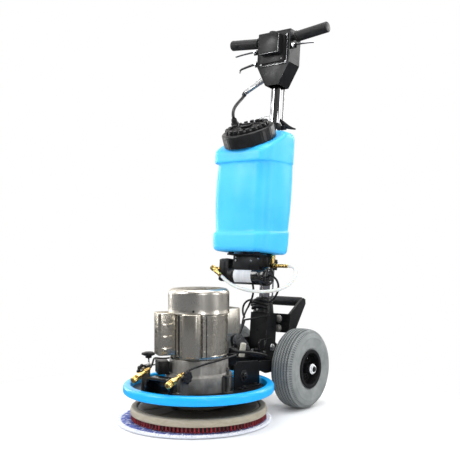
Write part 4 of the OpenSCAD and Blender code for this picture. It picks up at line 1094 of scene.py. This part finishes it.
def hub_nuts():
    """Ring nuts over the axle ends, light grey as a painted reflection of bright plating, and black plugs as painted
    shade of the axle's drilled centre.
    """
    m = Mesh()
    d = Mesh()
    for side in (-1, 1):
        out = move(0, 339, 126.3) @ rot(side * math.pi / 2, "Y")
        # painted reflection: the ring nuts are light grey plastic in place of bright plated metal
        m.revolve(rounded(9.6, 16.4, 187.4, 190.8, 1.4), 56, out, closed=True)
        m.revolve(rounded(9.6, 13.2, 190.4, 195.4, 1.2), 56, out, closed=True)
        # painted shade: a black plug stands for the shade inside the axle's drilled centre
        d.revolve(rod_profile(8.4, 192.5, 197.6, 0.8), 40, out)
    m.done("hub_rings", "nut_painted_reflection", "carriage", slot="zinc_hardware")
    return d.done("hub_centre_shade", "black_plastic", "carriage", slot="zinc_hardware")


def cord_plugs():
    """Grey twist-lock connector pair, its pale cap, and the carriage's two short leads."""
    m = Mesh(move(-24, 234, 212) @ rot(math.radians(132), "Y"))
    m.revolve([(0, -16), (15.5, -16), (17, -14.8), (17.5, -13), (17.5, -3), (16.8, -1.6), (15.6, -1), (15.6, 0.6),
               (17.2, 1.2), (17.2, 7), (15.2, 8), (15.0, 22), (16.2, 23), (16.2, 28), (14.8, 30.4), (12.8, 32),
               (12.2, 36), (12.8, 36.6), (12.2, 37.4), (11.2, 41), (9.2, 46), (0, 46)], 72,
              shape=lambda a, r, z: r - (0.7 if -13 < z < -3 and math.cos(a * 18) > 0.2 else 0))
    m.block((-4, -17.4, -12), (4, -14.6, 26), 1.0)
    m.block((-17.4, -4, -12), (-14.6, 4, 26), 1.0)
    m.done("cord_connector", "grey_plastic", "carriage", "cord_plugs")
    c = Mesh(move(8, 203, 166) @ rot(math.radians(10), "Y"))
    c.revolve([(0, 0), (9.5, 0), (9.5, 30), (8.8, 31), (8.8, 33.6), (9.5, 34.4), (9.2, 42.6), (7.6, 44), (0, 44)],
              48, shape=lambda a, r, z: r - (0.35 if z < 30 and math.cos(a * 24) > 0 else 0))
    c.done("cord_cap", "cap_plastic", "carriage", slot="grey_plastic")
    b = Mesh()
    b.block((-64, 232, 162), (-2, 252, 166), 0.8)
    b.block((-6, 192, 162), (24, 236, 166), 0.8)
    b.sweep(bezier((4, 234, 188), (24, 218, 186), (40, 226, 170), (70, 238, 168), 20), 4.2, 18)
    b.sweep(bezier((-34, 234, 222), (-52, 232, 236), (-70, 240, 214), (-58, 246, 176), 20), 4.2, 18)
    b.block((-28, 228, 165), (-20, 240, 199), 1.0)
    b.sweep(bezier((8, 234, 184), (22, 234, 172), (40, 240, 167), (72, 240, 166.8), 20), 4.5, 18)
    b.sweep(bezier((-50, 240, 182), (-10, 226, 178), (30, 232, 174), (72, 238, 172), 24), 4.5, 18)
    return b.done("carriage_leads", "black_rubber", "carriage")


# ---------------------------------------------------------------- handle, pump and hoses

def tube():
    """Chrome handle tube, with the release rod beside it."""
    m = Mesh(HANDLE)
    m.revolve(rod_profile(17.3, 56, 1016, 1.2), 64)
    m.done("chrome_tube_bright", "chrome_tube", "handle", "handle_tube")
    b = Mesh(HANDLE)
    b.revolve(rod_profile(2.8, 146, 906, 0.5), 20, move(16, 24, 0))
    for z in (121, 133):
        b.revolve([(0, 0), (4, 0), (4, 3.6), (3.4, 4.4), (0, 4.4)], 24, move(0, -33, z) @ rot(math.pi / 2, "X"), hexagon)
    stub = move(-34, -15, 918) @ rot(math.radians(-115), "Y")
    b.revolve([(0, 0), (8.6, 0), (8.6, 7), (7.6, 8), (7.0, 9), (7.0, 30), (6.2, 32), (6.2, 86), (6.8, 87), (6.8, 90),
               (6.2, 91), (6.2, 97), (5.2, 98), (0, 98)], 40, stub)
    wire = [(-44, -15, 934), (-60, -15, 922), (-96, -15, 902), (-130, -15, 884)]
    b.sweep(wire, 1.4, 10)
    b.revolve([(0, -3), (1.8, -2.4), (3, 0), (1.8, 2.4), (0, 3)], 16, move(-131, -15, 883.5))
    b.done("handle_fasteners", "zinc_hardware", "handle", "handle_bolts")
    g = Mesh(HANDLE)
    for x in (-28, 28):
        for z in (62, 94):
            spot = move(x, 53, z) @ rot(math.pi / 2, "X")
            g.revolve([(0, 8), (3, 7.9), (7, 7.0), (10.4, 4.9), (12.9, 2.0), (13.6, 0), (0, 0)], 48, spot)
    return g.done("carriage_bolts", "cast_housing", "handle", slot="zinc_hardware")


def pump():
    """Diaphragm pump: enamelled can with a finned cap, blank rating plate, and a screwed head."""
    at = HANDLE @ move(0, -99, 229) @ ALONG_X
    can = Mesh(at)
    can.revolve([(0, -48), (26, -48), (28.4, -46.6), (29, -44), (29, -6), (29, 53), (28.4, 55), (27.6, 56),
                 (27.6, 58), (28.6, 59.4), (30.4, 60.4), (31, 62), (31, 79), (29.8, 82.6), (27, 85), (24, 86),
                 (22.6, 84.4), (14, 84.2), (12.6, 86), (0, 86)], 96)
    for k in range(12):
        can.block((13.6, -1.1, 82), (28, 1.1, 85.6), 0.5, rot(TAU * k / 12, "Z"))
    can.done("pump_can", "black_gloss", "handle", "pump_motor")

    plate = Mesh(at)
    arc_plate(plate, 29.05, 29.5, 236, 322, -40, 30, 0.1, 24)
    plate.done("pump_plate", "plate", "handle", slot="black_gloss")

    head = Mesh(at)
    shape = [(-54, -15), (-54, 15), (-44, 25), (14, 25), (22, 17), (22, -17), (14, -25), (-44, -25)]
    head.prism(shape, -104, -82, 3.0)
    head.block((-52, -23.6, -83), (20, 23.6, -66), 2.4)
    for z in (-78, -72):
        head.block((-54, -24.8, z - 1.2), (22, 24.8, z + 1.2), 0.8)
    head.revolve([(0, -66.5), (29, -66.5), (29, -62), (27.8, -60.6), (27.8, -54), (29, -52.6), (29, -48.2), (0, -48.2)], 72)
    head.revolve([(0, -110), (11, -110), (13.4, -108.8), (14, -107), (14, -102), (0, -102)], 48)
    corners = [(x, y) for x in (-46, 14) for y in (-17.5, 17.5)]
    for x, y in corners:
        head.revolve(rod_profile(5.4, -105, -70, 0.8), 24, move(x, y, 0))
    head.done("pump_head_moulded", "black_plastic", "handle", "pump_head")

    screws = Mesh(at)
    for x, y in corners:
        dome_screw(screws, move(x, y, -105.2) @ rot(math.pi, "X"), 3.4, 2.2)
    for k in range(2):
        dome_screw(screws, rot(math.radians(200 + 180 * k), "Z") @ move(18.6, 0, 84.2), 3.4, 2.4)
    screws.at = HANDLE
    for x, z in ((-36, 276), (26, 276), (54, 283), (-36, 288)):
        dome_screw(screws, move(x, -123.2, z) @ rot(math.pi / 2, "X"), 3.8, 2.8)
    screws.done("pump_screws", "zinc_hardware", "handle", slot="zinc_hardware")


def pump_bracket():
    """Saddle, plate, tube clamp and rubber feet between the pump and the tank."""
    m = Mesh(HANDLE)
    m.block((-62, -139, 293), (62, -39, 298), 1.4)
    arc = [(-99 + 29.5 * math.cos(math.radians(a)), 229 + 29.5 * math.sin(math.radians(a))) for a in range(36, 145, 6)]
    m.prism([(-123, 292.8), (-123, 246.4)] + arc[::-1] + [(-75, 246.4), (-75, 292.8)], -47, 59, 1.2, SIDE)
    m.revolve([(17.4, 250), (24, 250), (25.5, 251.5), (25.5, 296.5), (24, 298), (17.4, 298)], 56, closed=True)
    m.block((-20, -68, 262), (20, -18, 297.6), 1.6)
    m.block((-27, 12, 256), (-21, 28, 292), 1.0)
    m.block((21, 12, 256), (27, 28, 292), 1.0)
    for z in (266, 282):
        m.revolve(rod_profile(3, -30, 30, 0.6), 20, move(0, 23, z) @ ALONG_X)
    m.done("pump_saddle", "black_steel", "handle", "pump_bracket")
    feet = Mesh(HANDLE)
    for x in (-52, 0, 52):
        for y in (-130, -60):
            feet.revolve([(0, 298), (9, 298), (9.6, 299), (9.2, 301), (9.8, 303), (9, 303.8), (0, 303.8)], 32, move(x, y, 0))
    return feet.done("tank_feet", "black_rubber", "handle")


def pump_fittings():
    """Brass barb, elbow and hose barrel, with clamps."""
    m = Mesh(HANDLE)
    m.revolve([(0, 66), (7.4, 66), (8.4, 67), (8.4, 80), (7.4, 81), (0, 81)], 60, move(0, -69, 265) @ ALONG_X, hexagon)
    barb = [(0, 80), (6.2, 80), (6.2, 92)]
    for k in range(7):
        barb += [(5.2, 92.4 + k * 5.4), (6.4, 96.4 + k * 5.4)]
    m.revolve(barb + [(5, 132), (0, 132)], 40, move(0, -69, 265) @ ALONG_X)
    m.revolve(rod_profile(7, 262, 300, 0.8), 36, move(72, -69, 0))
    m.sweep([(-103, -117, 248), (-109, -117, 248), (-113, -118.6, 248), (-114.6, -122, 248), (-115, -136, 248)], 6.0, 20)
    barrel = move(-120, -133, 248) @ rot(math.radians(123), "Y")
    m.revolve([(0, -8), (7.6, -8), (9.4, -6.8), (9.4, 5), (8.4, 6), (0, 6)], 60, barrel, hexagon)
    m.revolve([(0, 5), (7.4, 5), (7.4, 13), (8.2, 14), (8.2, 19), (7.2, 20), (7.2, 32), (8.0, 33), (8.0, 41),
               (7.2, 43), (0, 43)], 48, barrel, lambda a, r, z: r * (1 - (0.05 if 13.5 < z < 19.5 else 0) * abs(math.cos(a * 12))))
    return m.done("brass_fittings", "brass", "handle", "pump_fittings")


def hoses():
    """The milky solution loop, the two black cords and the lid's air hose."""
    m = Mesh(HANDLE)
    loop = bezier((136, -69, 265), (182, -72, 272), (192, -88, 196), (108, -120, 182), 26)
    loop += bezier((108, -120, 182), (44, -143, 171), (-26, -148, 184), (-82, -133, 223), 22)[1:]
    m.sweep(loop, 5.3, 22)
    m.done("solution_loop", "clear_hose", "handle", "solution_hose")

    c = Mesh(HANDLE)
    c.sweep(bezier((20, -99, 203), (22, -84, 172), (-10, -60, 150), (-30, -47, 126), 20), 3.4, 16)
    c.sweep(bezier((84, -99, 234), (128, -84, 222), (94, -50, 168), (44, -28, 150), 26), 3.4, 16)
    for x, z, thick in ((-30, 134, 4.5), (-32, 143, 5), (28, 129, 4.5), (30, 151, 4)):
        c.sweep(bezier((x, -27, z), (x * 0.5, -46, z + 9), (-x * 0.5, -46, z + 2), (-x, -24, z - 6), 16), thick, 14)
    c.revolve([(17.5, 146), (30, 146), (32, 148.5), (31, 153), (27, 157), (27.5, 160), (23, 163), (17.5, 163.5)], 48,
              UP, lambda a, r, z: r * (1 - (0.08 if r > 20 else 0) * (0.5 + 0.5 * math.cos(a * 9))), closed=True)
    c.sweep(bezier((-24, -34, 152), (-62, -40, 150), (-60, -44, 110), (-40, -50, 92), 22), 3.4, 16)
    c.sweep(bezier((-126, -15, 872), (-139, -16, 848), (-99, -122, 802), (-90, -115.5, 761), 28), 5.4, 18)
    c.sweep([(-131.5, -14.8, 874.6), (-123, -15, 871)], 7.2, 18)
    c.at = LID @ move(-90, 60, 0)
    c.revolve([(0, -3), (10.5, -3), (10.5, 6), (9.2, 8), (9.2, 42), (12.6, 43), (13.6, 45), (13.6, 54), (12.4, 56),
               (10.4, 56.6), (10.0, 64), (9.0, 69), (7.4, 71), (0, 71)], 56,
              shape=lambda a, r, z: r * (1 - (0.10 if 43 < z < 56 else 0) * (0.5 + 0.5 * math.cos(a * 12))))
    return c.done("black_cords", "black_rubber", "handle", "handle_cords")


def lower_leads():
    """Leads that cross the handle's pivot to the carriage, and the carriage's to the head."""
    pin = Vector(joint("handle_tilt")["pos_m"])
    pivot = Vector(joint("carriage_float")["pos_m"])
    runs = [
        ("lead_a", [HANDLE @ (Vector(p) * MM) / MM for p in ((-30, -47, 127), (-44, -52, 100), (-46, -54, 60))],
         [(-46, 262, 220), (-40, 248, 196), (-34, 240, 184)]),
        ("lead_b", [HANDLE @ (Vector(p) * MM) / MM for p in ((46, -28, 105), (20, -44, 96), (-34, -56, 84))],
         [(-52, 262, 216), (-56, 246, 200), (-52, 240, 186)]),
    ]
    for name, upper, lower in runs:
        m = Mesh()
        points = bezier(upper[0], upper[1], upper[1].lerp(upper[2], 0.6), upper[2], 12)
        start = points[-1]
        points += bezier(start, start + Vector((-1, -8, -24)), lower[0], lower[2], 22)[1:]
        m.sweep(points, 3.0, 16)
        m.done(name, "black_rubber", ("carriage", "handle", (pin - Vector((0, 0.04, 0.0))), (pin + Vector((0, -0.03, 0.09)))),
               slot="black_rubber")
    h = Mesh()
    h.sweep(bezier((74, 240, 169), (92, 236, 170), (90, 180, 190), (72, 120, 196), 24)
            + bezier((72, 120, 196), (62, 96, 199), (56, 90, 204), (50, 86, 212), 8)[1:], 4.6, 18)
    h.done("lead_motor", "black_rubber", ("head", "carriage", Vector((0.08, 0.13, 0.17)), Vector((0.08, 0.23, 0.17))),
           slot="black_rubber")


# ---------------------------------------------------------------- tank and lid

def soft_min(a, b, k=5.0):
    return -k * math.log(math.exp(-a / k) + math.exp(-b / k))


def tank():
    """Blow-moulded tank: banded sides, crowned walls, sloping shoulder and a rear hump."""
    n_side, n_arc, n_cut = 18, 14, 8
    top_slope = math.tan(LID_TILT)

    def level(half, front, back, r_front, r_back, crown, notch):
        """One ring. notch is the depth of the channel for the tube."""
        pts = []
        corners = [(half - r_back, back - r_back, 90, 0, r_back, 1), (half - r_front, front + r_front, 0, -90, r_front, 1),
                   (-half + r_front, front + r_front, -90, -180, r_front, 1),
                   (-half + r_back, back - r_back, 180, 90, r_back, 1)]
        arcs = []
        for cx, cy, a0, a1, r, _ in corners:
            arcs.append([(cx + r * math.cos(math.radians(a0 + (a1 - a0) * k / n_arc)),
                          cy + r * math.sin(math.radians(a0 + (a1 - a0) * k / n_arc))) for k in range(n_arc + 1)])

        def wall(p, q, nx, ny, swell):
            row = []
            for k in range(1, n_side):
                s = k / n_side
                lift = swell * (1 - (2 * s - 1) ** 2) ** 1.5
                row.append((p[0] + (q[0] - p[0]) * s + nx * lift, p[1] + (q[1] - p[1]) * s + ny * lift))
            return row

        mouth = 12.5
        start = (mouth, back)
        for k in range(1, 7):
            s = k / 7
            pts.append((start[0] + (arcs[0][0][0] - start[0]) * s, back))
        pts = [start] + pts + arcs[0] + wall(arcs[0][-1], arcs[1][0], 1, 0, crown) + arcs[1]
        pts += wall(arcs[1][-1], arcs[2][0], 0, -1, crown) + arcs[2]
        pts += wall(arcs[2][-1], arcs[3][0], -1, 0, crown) + arcs[3]
        for k in range(1, 7):
            s = k / 7
            pts.append((arcs[3][-1][0] + (-mouth - arcs[3][-1][0]) * s, back))
        for k in range(n_cut + 1):
            a = math.radians(180 + 180 * k / n_cut)
            pts.append((mouth * math.cos(a), back + notch * math.sin(a)))
        return pts

    def roof(x, y):
        """Height of the top skin over a point, before its edge is rounded."""
        plane = 668 + (y + 131) * top_slope
        away = math.hypot(x, (y + 131) / math.cos(LID_TILT))
        hump = 30 * smoothstep(89, 118, away) * smoothstep(-118, -46, y)
        return soft_min(plane + hump, 725 - 20 * (x / 100) ** 2)

    def slant(z, y):
        """The bands run level with the floor, so they climb towards the leaning tank's back."""
        rise = 18 * smoothstep(306, 352, z) - 6 * smoothstep(380, 560, z)
        return z + rise * (y + 187) / 147

    rows = []
    upper = (113.0, -194.0)
    for k in range(7):
        a = math.pi / 2 * k / 6
        inset = 14 * (1 - math.sin(a))
        z = 304 + 14 * (1 - math.cos(a))
        rows.append([(x, y, z) for x, y in level(108 - inset, -181.5 + inset, -14 - inset * 0.6,
                                                 40 - inset * 0.5, 38 - inset * 0.5, 0.6, 5)])
    for z, half, front, rf, crown in (
            (328, 109.0, -182.0, 40, 1.0), (350, 110.2, -183.2, 40, 1.4), (356, 110.0, -183.0, 40, 1.4),
            (359.5, 108.8, -181.8, 41, 1.4), (362, 106.8, -179.8, 43, 1.4), (364.5, 105.6, -178.6, 45, 2.0),
            (372, 106.2, -179.0, 46, 3.0), (400, 108.2, -181.4, 47, 5.0), (430, 110.0, -183.8, 48, 7.0),
            (465, 111.0, -185.6, 48, 8.2), (500, 111.4, -186.4, 48, 8.0), (535, 111.2, -186.2, 48, 6.6),
            (562, 110.6, -185.4, 49, 5.0), (580, 110.0, -184.6, 49, 3.6)):
        rows.append([(x, y, slant(z, y)) for x, y in level(half, front, -14, rf, 36, crown, 5)])
    for z, grow in ((587.4, 0.0), (589.0, 0.8), (590.0, 3.2), (590.6, 5.0), (592.0, 6.2), (596, 6.6)):
        share = grow / 6.6
        ring = level(110 + (upper[0] - 110) * share, -184.6 + (upper[1] + 184.6) * share, -14,
                     49 - 11 * share, 36 + 2 * share, 3.4 - 1.6 * share, 5)
        rows.append([(x, y, slant(z, y)) for x, y in ring])
    rim = level(upper[0], upper[1], -14, 38, 38, 1.8, 5)
    for s in (0.18, 0.5, 0.8):
        rows.append([(x, y, slant(596, y) + (roof(x, y) - 16 - slant(596, y)) * s) for x, y in rim])
    bend = 16
    for k in range(8):
        a = math.pi / 2 * k / 7
        ring = level(upper[0] - bend * (1 - math.cos(a)), upper[1] + bend * (1 - math.cos(a)),
                     -14 - 8 * (1 - math.cos(a)), 38 - 6 * (1 - math.cos(a)), 38 - 6 * (1 - math.cos(a)), 1.8, 5)
        rows.append([(x, y, roof(x, y) - bend * (1 - math.sin(a))) for x, y in ring])
    last = level(upper[0] - bend, upper[1] + bend, -22, 32, 32, 1.8, 5)
    for s in (0.9, 0.78, 0.66, 0.55, 0.4, 0.2):
        rows.append([(x * s, -118 + (y + 118) * s, roof(x * s, -118 + (y + 118) * s)) for x, y in last])
    rows.append([(0, -118, roof(0, -118))])
    rows.insert(0, [(x * 0.6, -95 + (y + 95) * 0.6, 304) for x, y in level(94, -168, -22, 35, 38, 0, 3)])
    rows.insert(0, [(0, -95, 304)])
    m = Mesh(HANDLE)
    m.grid(rows)
    neck = HANDLE.inverted() @ LID
    m.revolve([(0, -14), (66, -14), (66, 12), (64, 13), (66, 14.5), (66, 18), (64.5, 21), (0, 21)], 96, neck)
    return m.done("tank_moulding", "blue_tank", "handle", "tank", angle=50)


def tank_lid():
    """Black screw lid: fluted skirt, stepped top, crown of finger lugs and a dished centre."""
    m = Mesh(LID)
    profile = [(70, 1.2), (86.6, 1.0), (88, 2.4), (88, 38.5), (87.2, 41), (85.4, 43), (82, 44.4), (80.8, 44.4),
               (80, 43.6), (71, 43.6), (70.4, 44.2), (70.2, 48), (69.2, 49), (55.5, 49.4), (54.6, 48.6),
               (53.6, 46.6), (28, 46.2), (26.6, 47.2), (26, 50), (24.4, 50.6), (0, 50.6)]
    m.revolve(profile + [(0, 26), (70, 26)], 216, closed=True,
              shape=lambda a, r, z: r - (0.5 * (0.5 + 0.5 * math.cos(a * 54)) if r > 87 and z < 39 else 0))
    for k in range(20):
        turn = rot(TAU * k / 20, "Z")
        m.prism([(58, -5.6), (70, -6.9), (73, -5.4), (73, 5.4), (70, 6.9), (58, 5.6)], 45, 56.5, 1.4, turn)
    for k in range(6):
        m.block((29, -1.6, 45), (54, 1.6, 49), 0.6, rot(TAU * (k + 0.5) / 6, "Z"))
    return m.done("lid_lugged", "black_plastic", "lid", "tank_lid")


def vent_plug():
    """Knurled vent plug with a cross bar for the fingers."""
    m = Mesh(LID)
    m.revolve([(0, 40), (14, 40), (14, 51.6), (20, 52.4), (21, 53.8), (21, 57), (19.6, 58.4), (8, 59), (0, 59)], 96,
              shape=lambda a, r, z: r * (1 - 0.05 * (0.5 + 0.5 * math.cos(a * 16))) if r > 19 else r)
    m.block((-17, -3.6, 57), (17, 3.6, 63), 1.8)
    return m.done("plug_knurled", "black_plastic", "plug", "vent_plug")


def tether():
    """Lid keeper: a wire from the tank's shoulder to a moulded hook behind the tube."""
    m = Mesh(HANDLE)
    wire = [(-62, -44, 764), (-45, -29, 775), (-30, -17, 783), (-15, -7, 787), (0, 5, 786.5), (9, 12, 781), (14, 18, 772)]
    m.sweep(wire, 1.3, 10)
    m.done("lid_wire", "zinc_hardware", "handle")
    h = Mesh(HANDLE)
    h.sweep(bezier((12, 15, 776), (17, 21, 766), (24, 28, 757), (33, 34, 752), 12)
            + bezier((33, 34, 752), (40, 38, 749), (47, 44, 747), (54, 51, 746), 8)[1:],
            lambda s: 3.0 + 5.2 * math.sin(math.pi * min(1, 0.1 + s * 0.95)) ** 1.3, 14)
    h.revolve([(17.5, 738), (22.5, 738), (23.5, 739.5), (23.5, 756), (22.5, 757.5), (17.5, 757.5)], 56, closed=True)
    h.block((6, 16, 741), (30, 34, 755), 3)
    return h.done("lid_hook", "black_plastic", "handle")


# ---------------------------------------------------------------- control box, grips and levers

def box_cover():
    """Flanged cover with a raised panel and a blank boss; its cut edges are bare metal."""
    m = Mesh(HANDLE)
    m.block((-50, -36, 956), (57.5, -32.2, 1060), 0.7)
    m.block((-42, -41, 963), (50.5, -35, 1055), 2.0)
    m.block((-36, -67, 988), (42, -40, 1055), 2.4)
    m.done("cover_panel", "black_plastic", "handle", "box_cover")
    edge = Mesh(HANDLE)
    edge.block((57, -36.6, 957), (58.3, -33, 1059), 0.3)
    edge.block((-48, -36.6, 955.2), (57, -34, 956.4), 0.3)
    edge.block((41.6, -67.3, 990), (42.5, -64, 1052), 0.3)
    edge.block((-34, -67.3, 987.4), (41, -64.5, 988.4), 0.3)
    for x, z, r in ((54, 1053, 4.2), (54, 961, 4.2), (-46, 961, 4.0), (40, 972, 2.8), (-46, 1053, 4.0)):
        dome_screw(edge, move(x, -36.1 if r > 3 else -41, z) @ rot(math.pi / 2, "X"), r, 2.6)
    return edge.done("cover_edges", "zinc_hardware", "handle")


def grips():
    """Ribbed rubber grips with an end flange, on the bare bar."""
    m = Mesh()
    for side in (-1, 1):
        at = HANDLE @ move(side * 60, -9, 1050) @ rot(side * math.radians(84), "Y")
        profile = [(11.2, 18), (19.4, 18), (20, 19), (20, 21), (19.2, 22.4), (17.6, 23.4)]
        for k in range(20):
            z = 26 + 5.2 * k
            profile += [(17.4, z), (18.0, z + 1.0), (18.0, z + 3.6), (17.4, z + 4.4)]
        profile += [(17.6, 131.5), (18.2, 133), (18.2, 136), (16.8, 138.4), (13, 139.2), (0, 139.2), (0, 136.4), (11.2, 136.4)]
        m.revolve(profile, 72, at, closed=True)
    return m.done("rubber_grips", "black_rubber", "handle", "grips")


def triggers():
    """Thin plated blades, turned down a little at the tip."""
    for side, name in ((-1, "left"), (1, "right")):
        at = HANDLE @ move(side * 80, -30, 1016) @ (UP if side > 0 else rot(math.pi, "Z"))
        m = Mesh(at)
        blade = []
        for k in range(13):
            x = 84 * k / 12
            droop = -0.03 * x - 3.0 * (k / 12) ** 4
            half = 5.4 - 1.6 * k / 12
            lift = 1.1
            blade.append([(x, -half, droop - lift), (x, half, droop - lift), (x, half + 0.4, droop), (x, half, droop + lift),
                          (x, -half, droop + lift), (x, -half - 0.4, droop)])
        rows = m.grid(blade)
        m.bm.faces.new(reversed(rows[0]))
        m.bm.faces.new(rows[-1])
        m.revolve([(2.6, -2.2), (5.6, -2.2), (6.2, -1.6), (6.2, 1.6), (5.6, 2.2), (2.6, 2.2)], 36, rot(math.pi / 2, "X"),
                  closed=True)
        m.done("trigger_%s_blade" % name, "chrome_tube", "trigger_" + name[0], "trigger_" + name)


def release_lever():
    """Cranked release lever with a hooked, plated tip."""
    m = Mesh(HANDLE @ move(-78, -22, 975))
    arm = bezier((0, 0, 0), (-20, 0, -2), (-42, 0, -6), (-58, 0, -9.4), 12)
    hook = bezier((-58, 0, -9.4), (-66, 0, -11), (-70, 0, -14), (-69.5, 0, -20), 8)
    m.sweep(arm + hook[1:], lambda s: 4.4 - 1.2 * s, 18)
    m.revolve([(3.1, -4), (7.4, -4), (8, -3.4), (8, 3.4), (7.4, 4), (3.1, 4)], 40, rot(math.pi / 2, "X"), closed=True)
    m.done("release_arm", "black_gloss", "release", "release_lever")
    t = Mesh(HANDLE @ move(-78, -22, 975))
    t.revolve([(0, -3.6), (2.6, -3.2), (3.9, -1.6), (4.2, 0), (3.9, 1.6), (2.6, 3.2), (0, 3.6)], 28, move(-69.4, 0, -20))
    return t.done("release_tip", "zinc_hardware", "release")


def power_button():
    """Rubber boot over the push switch."""
    m = Mesh(HANDLE @ move(-30, 4, 1076))
    m.revolve([(0, -14), (10, -14), (10, -9), (7, -9), (7, 4), (14.4, 4), (15, 5), (15, 12), (14, 14.6), (11, 15.8),
               (0, 16)], 56)
    return m.done("switch_boot", "black_rubber", "button", "power_button")


def box_details():
    """Lever pins' washers and the grab bar's sleeve."""
    m = Mesh(HANDLE)
    for side in (-1, 1):
        m.revolve([(0, -37.6), (4, -37.6), (4.4, -37), (4.4, -35.4), (4, -34.8), (0, -34.8)], 28,
                  move(side * 80, 0, 1016) @ rot(-math.pi / 2, "X"))
    m.revolve([(0, -30.6), (5, -30.6), (5.4, -30), (5.4, -28.2), (5, -27.6), (0, -27.6)], 28,
              move(-78, 0, 975) @ rot(-math.pi / 2, "X"))
    m.done("pin_caps", "zinc_hardware", "handle")
    s = Mesh(HANDLE @ move(0, 135, 156) @ ALONG_X)
    sleeve = [(13.4, -62), (15.4, -62), (16, -61)]
    for k in range(20):
        z = -58 + 5.8 * k
        sleeve += [(16, z), (16, z + 3.6), (15.4, z + 4.2), (15.4, z + 5.2)]
    s.revolve(sleeve + [(16, 61), (15.4, 62), (13.4, 62)], 56, closed=True)
    return s.done("grab_sleeve", "black_rubber", "handle")


# ---------------------------------------------------------------- everything in order

keep_nodes()
bumper()
motor_shell()
motor_cap()
capacitor_covers()
junction_box()
spray_jets()
jet_knobs()
clamp_knob()
spray_hoses()
front_guard()
head_bolts()
driver_block()
bristles()
bonnet_base()
bonnet_loops()
tyre(-1, "left")
tyre(1, "right")
rim_details(-1, "left")
rim_details(1, "right")
hub_nuts()
cord_plugs()
tube()
pump()
pump_bracket()
pump_fittings()
hoses()
lower_leads()
tank()
tank_lid()
vent_plug()
tether()
box_cover()
grips()
triggers()
release_lever()
power_button()
box_details()
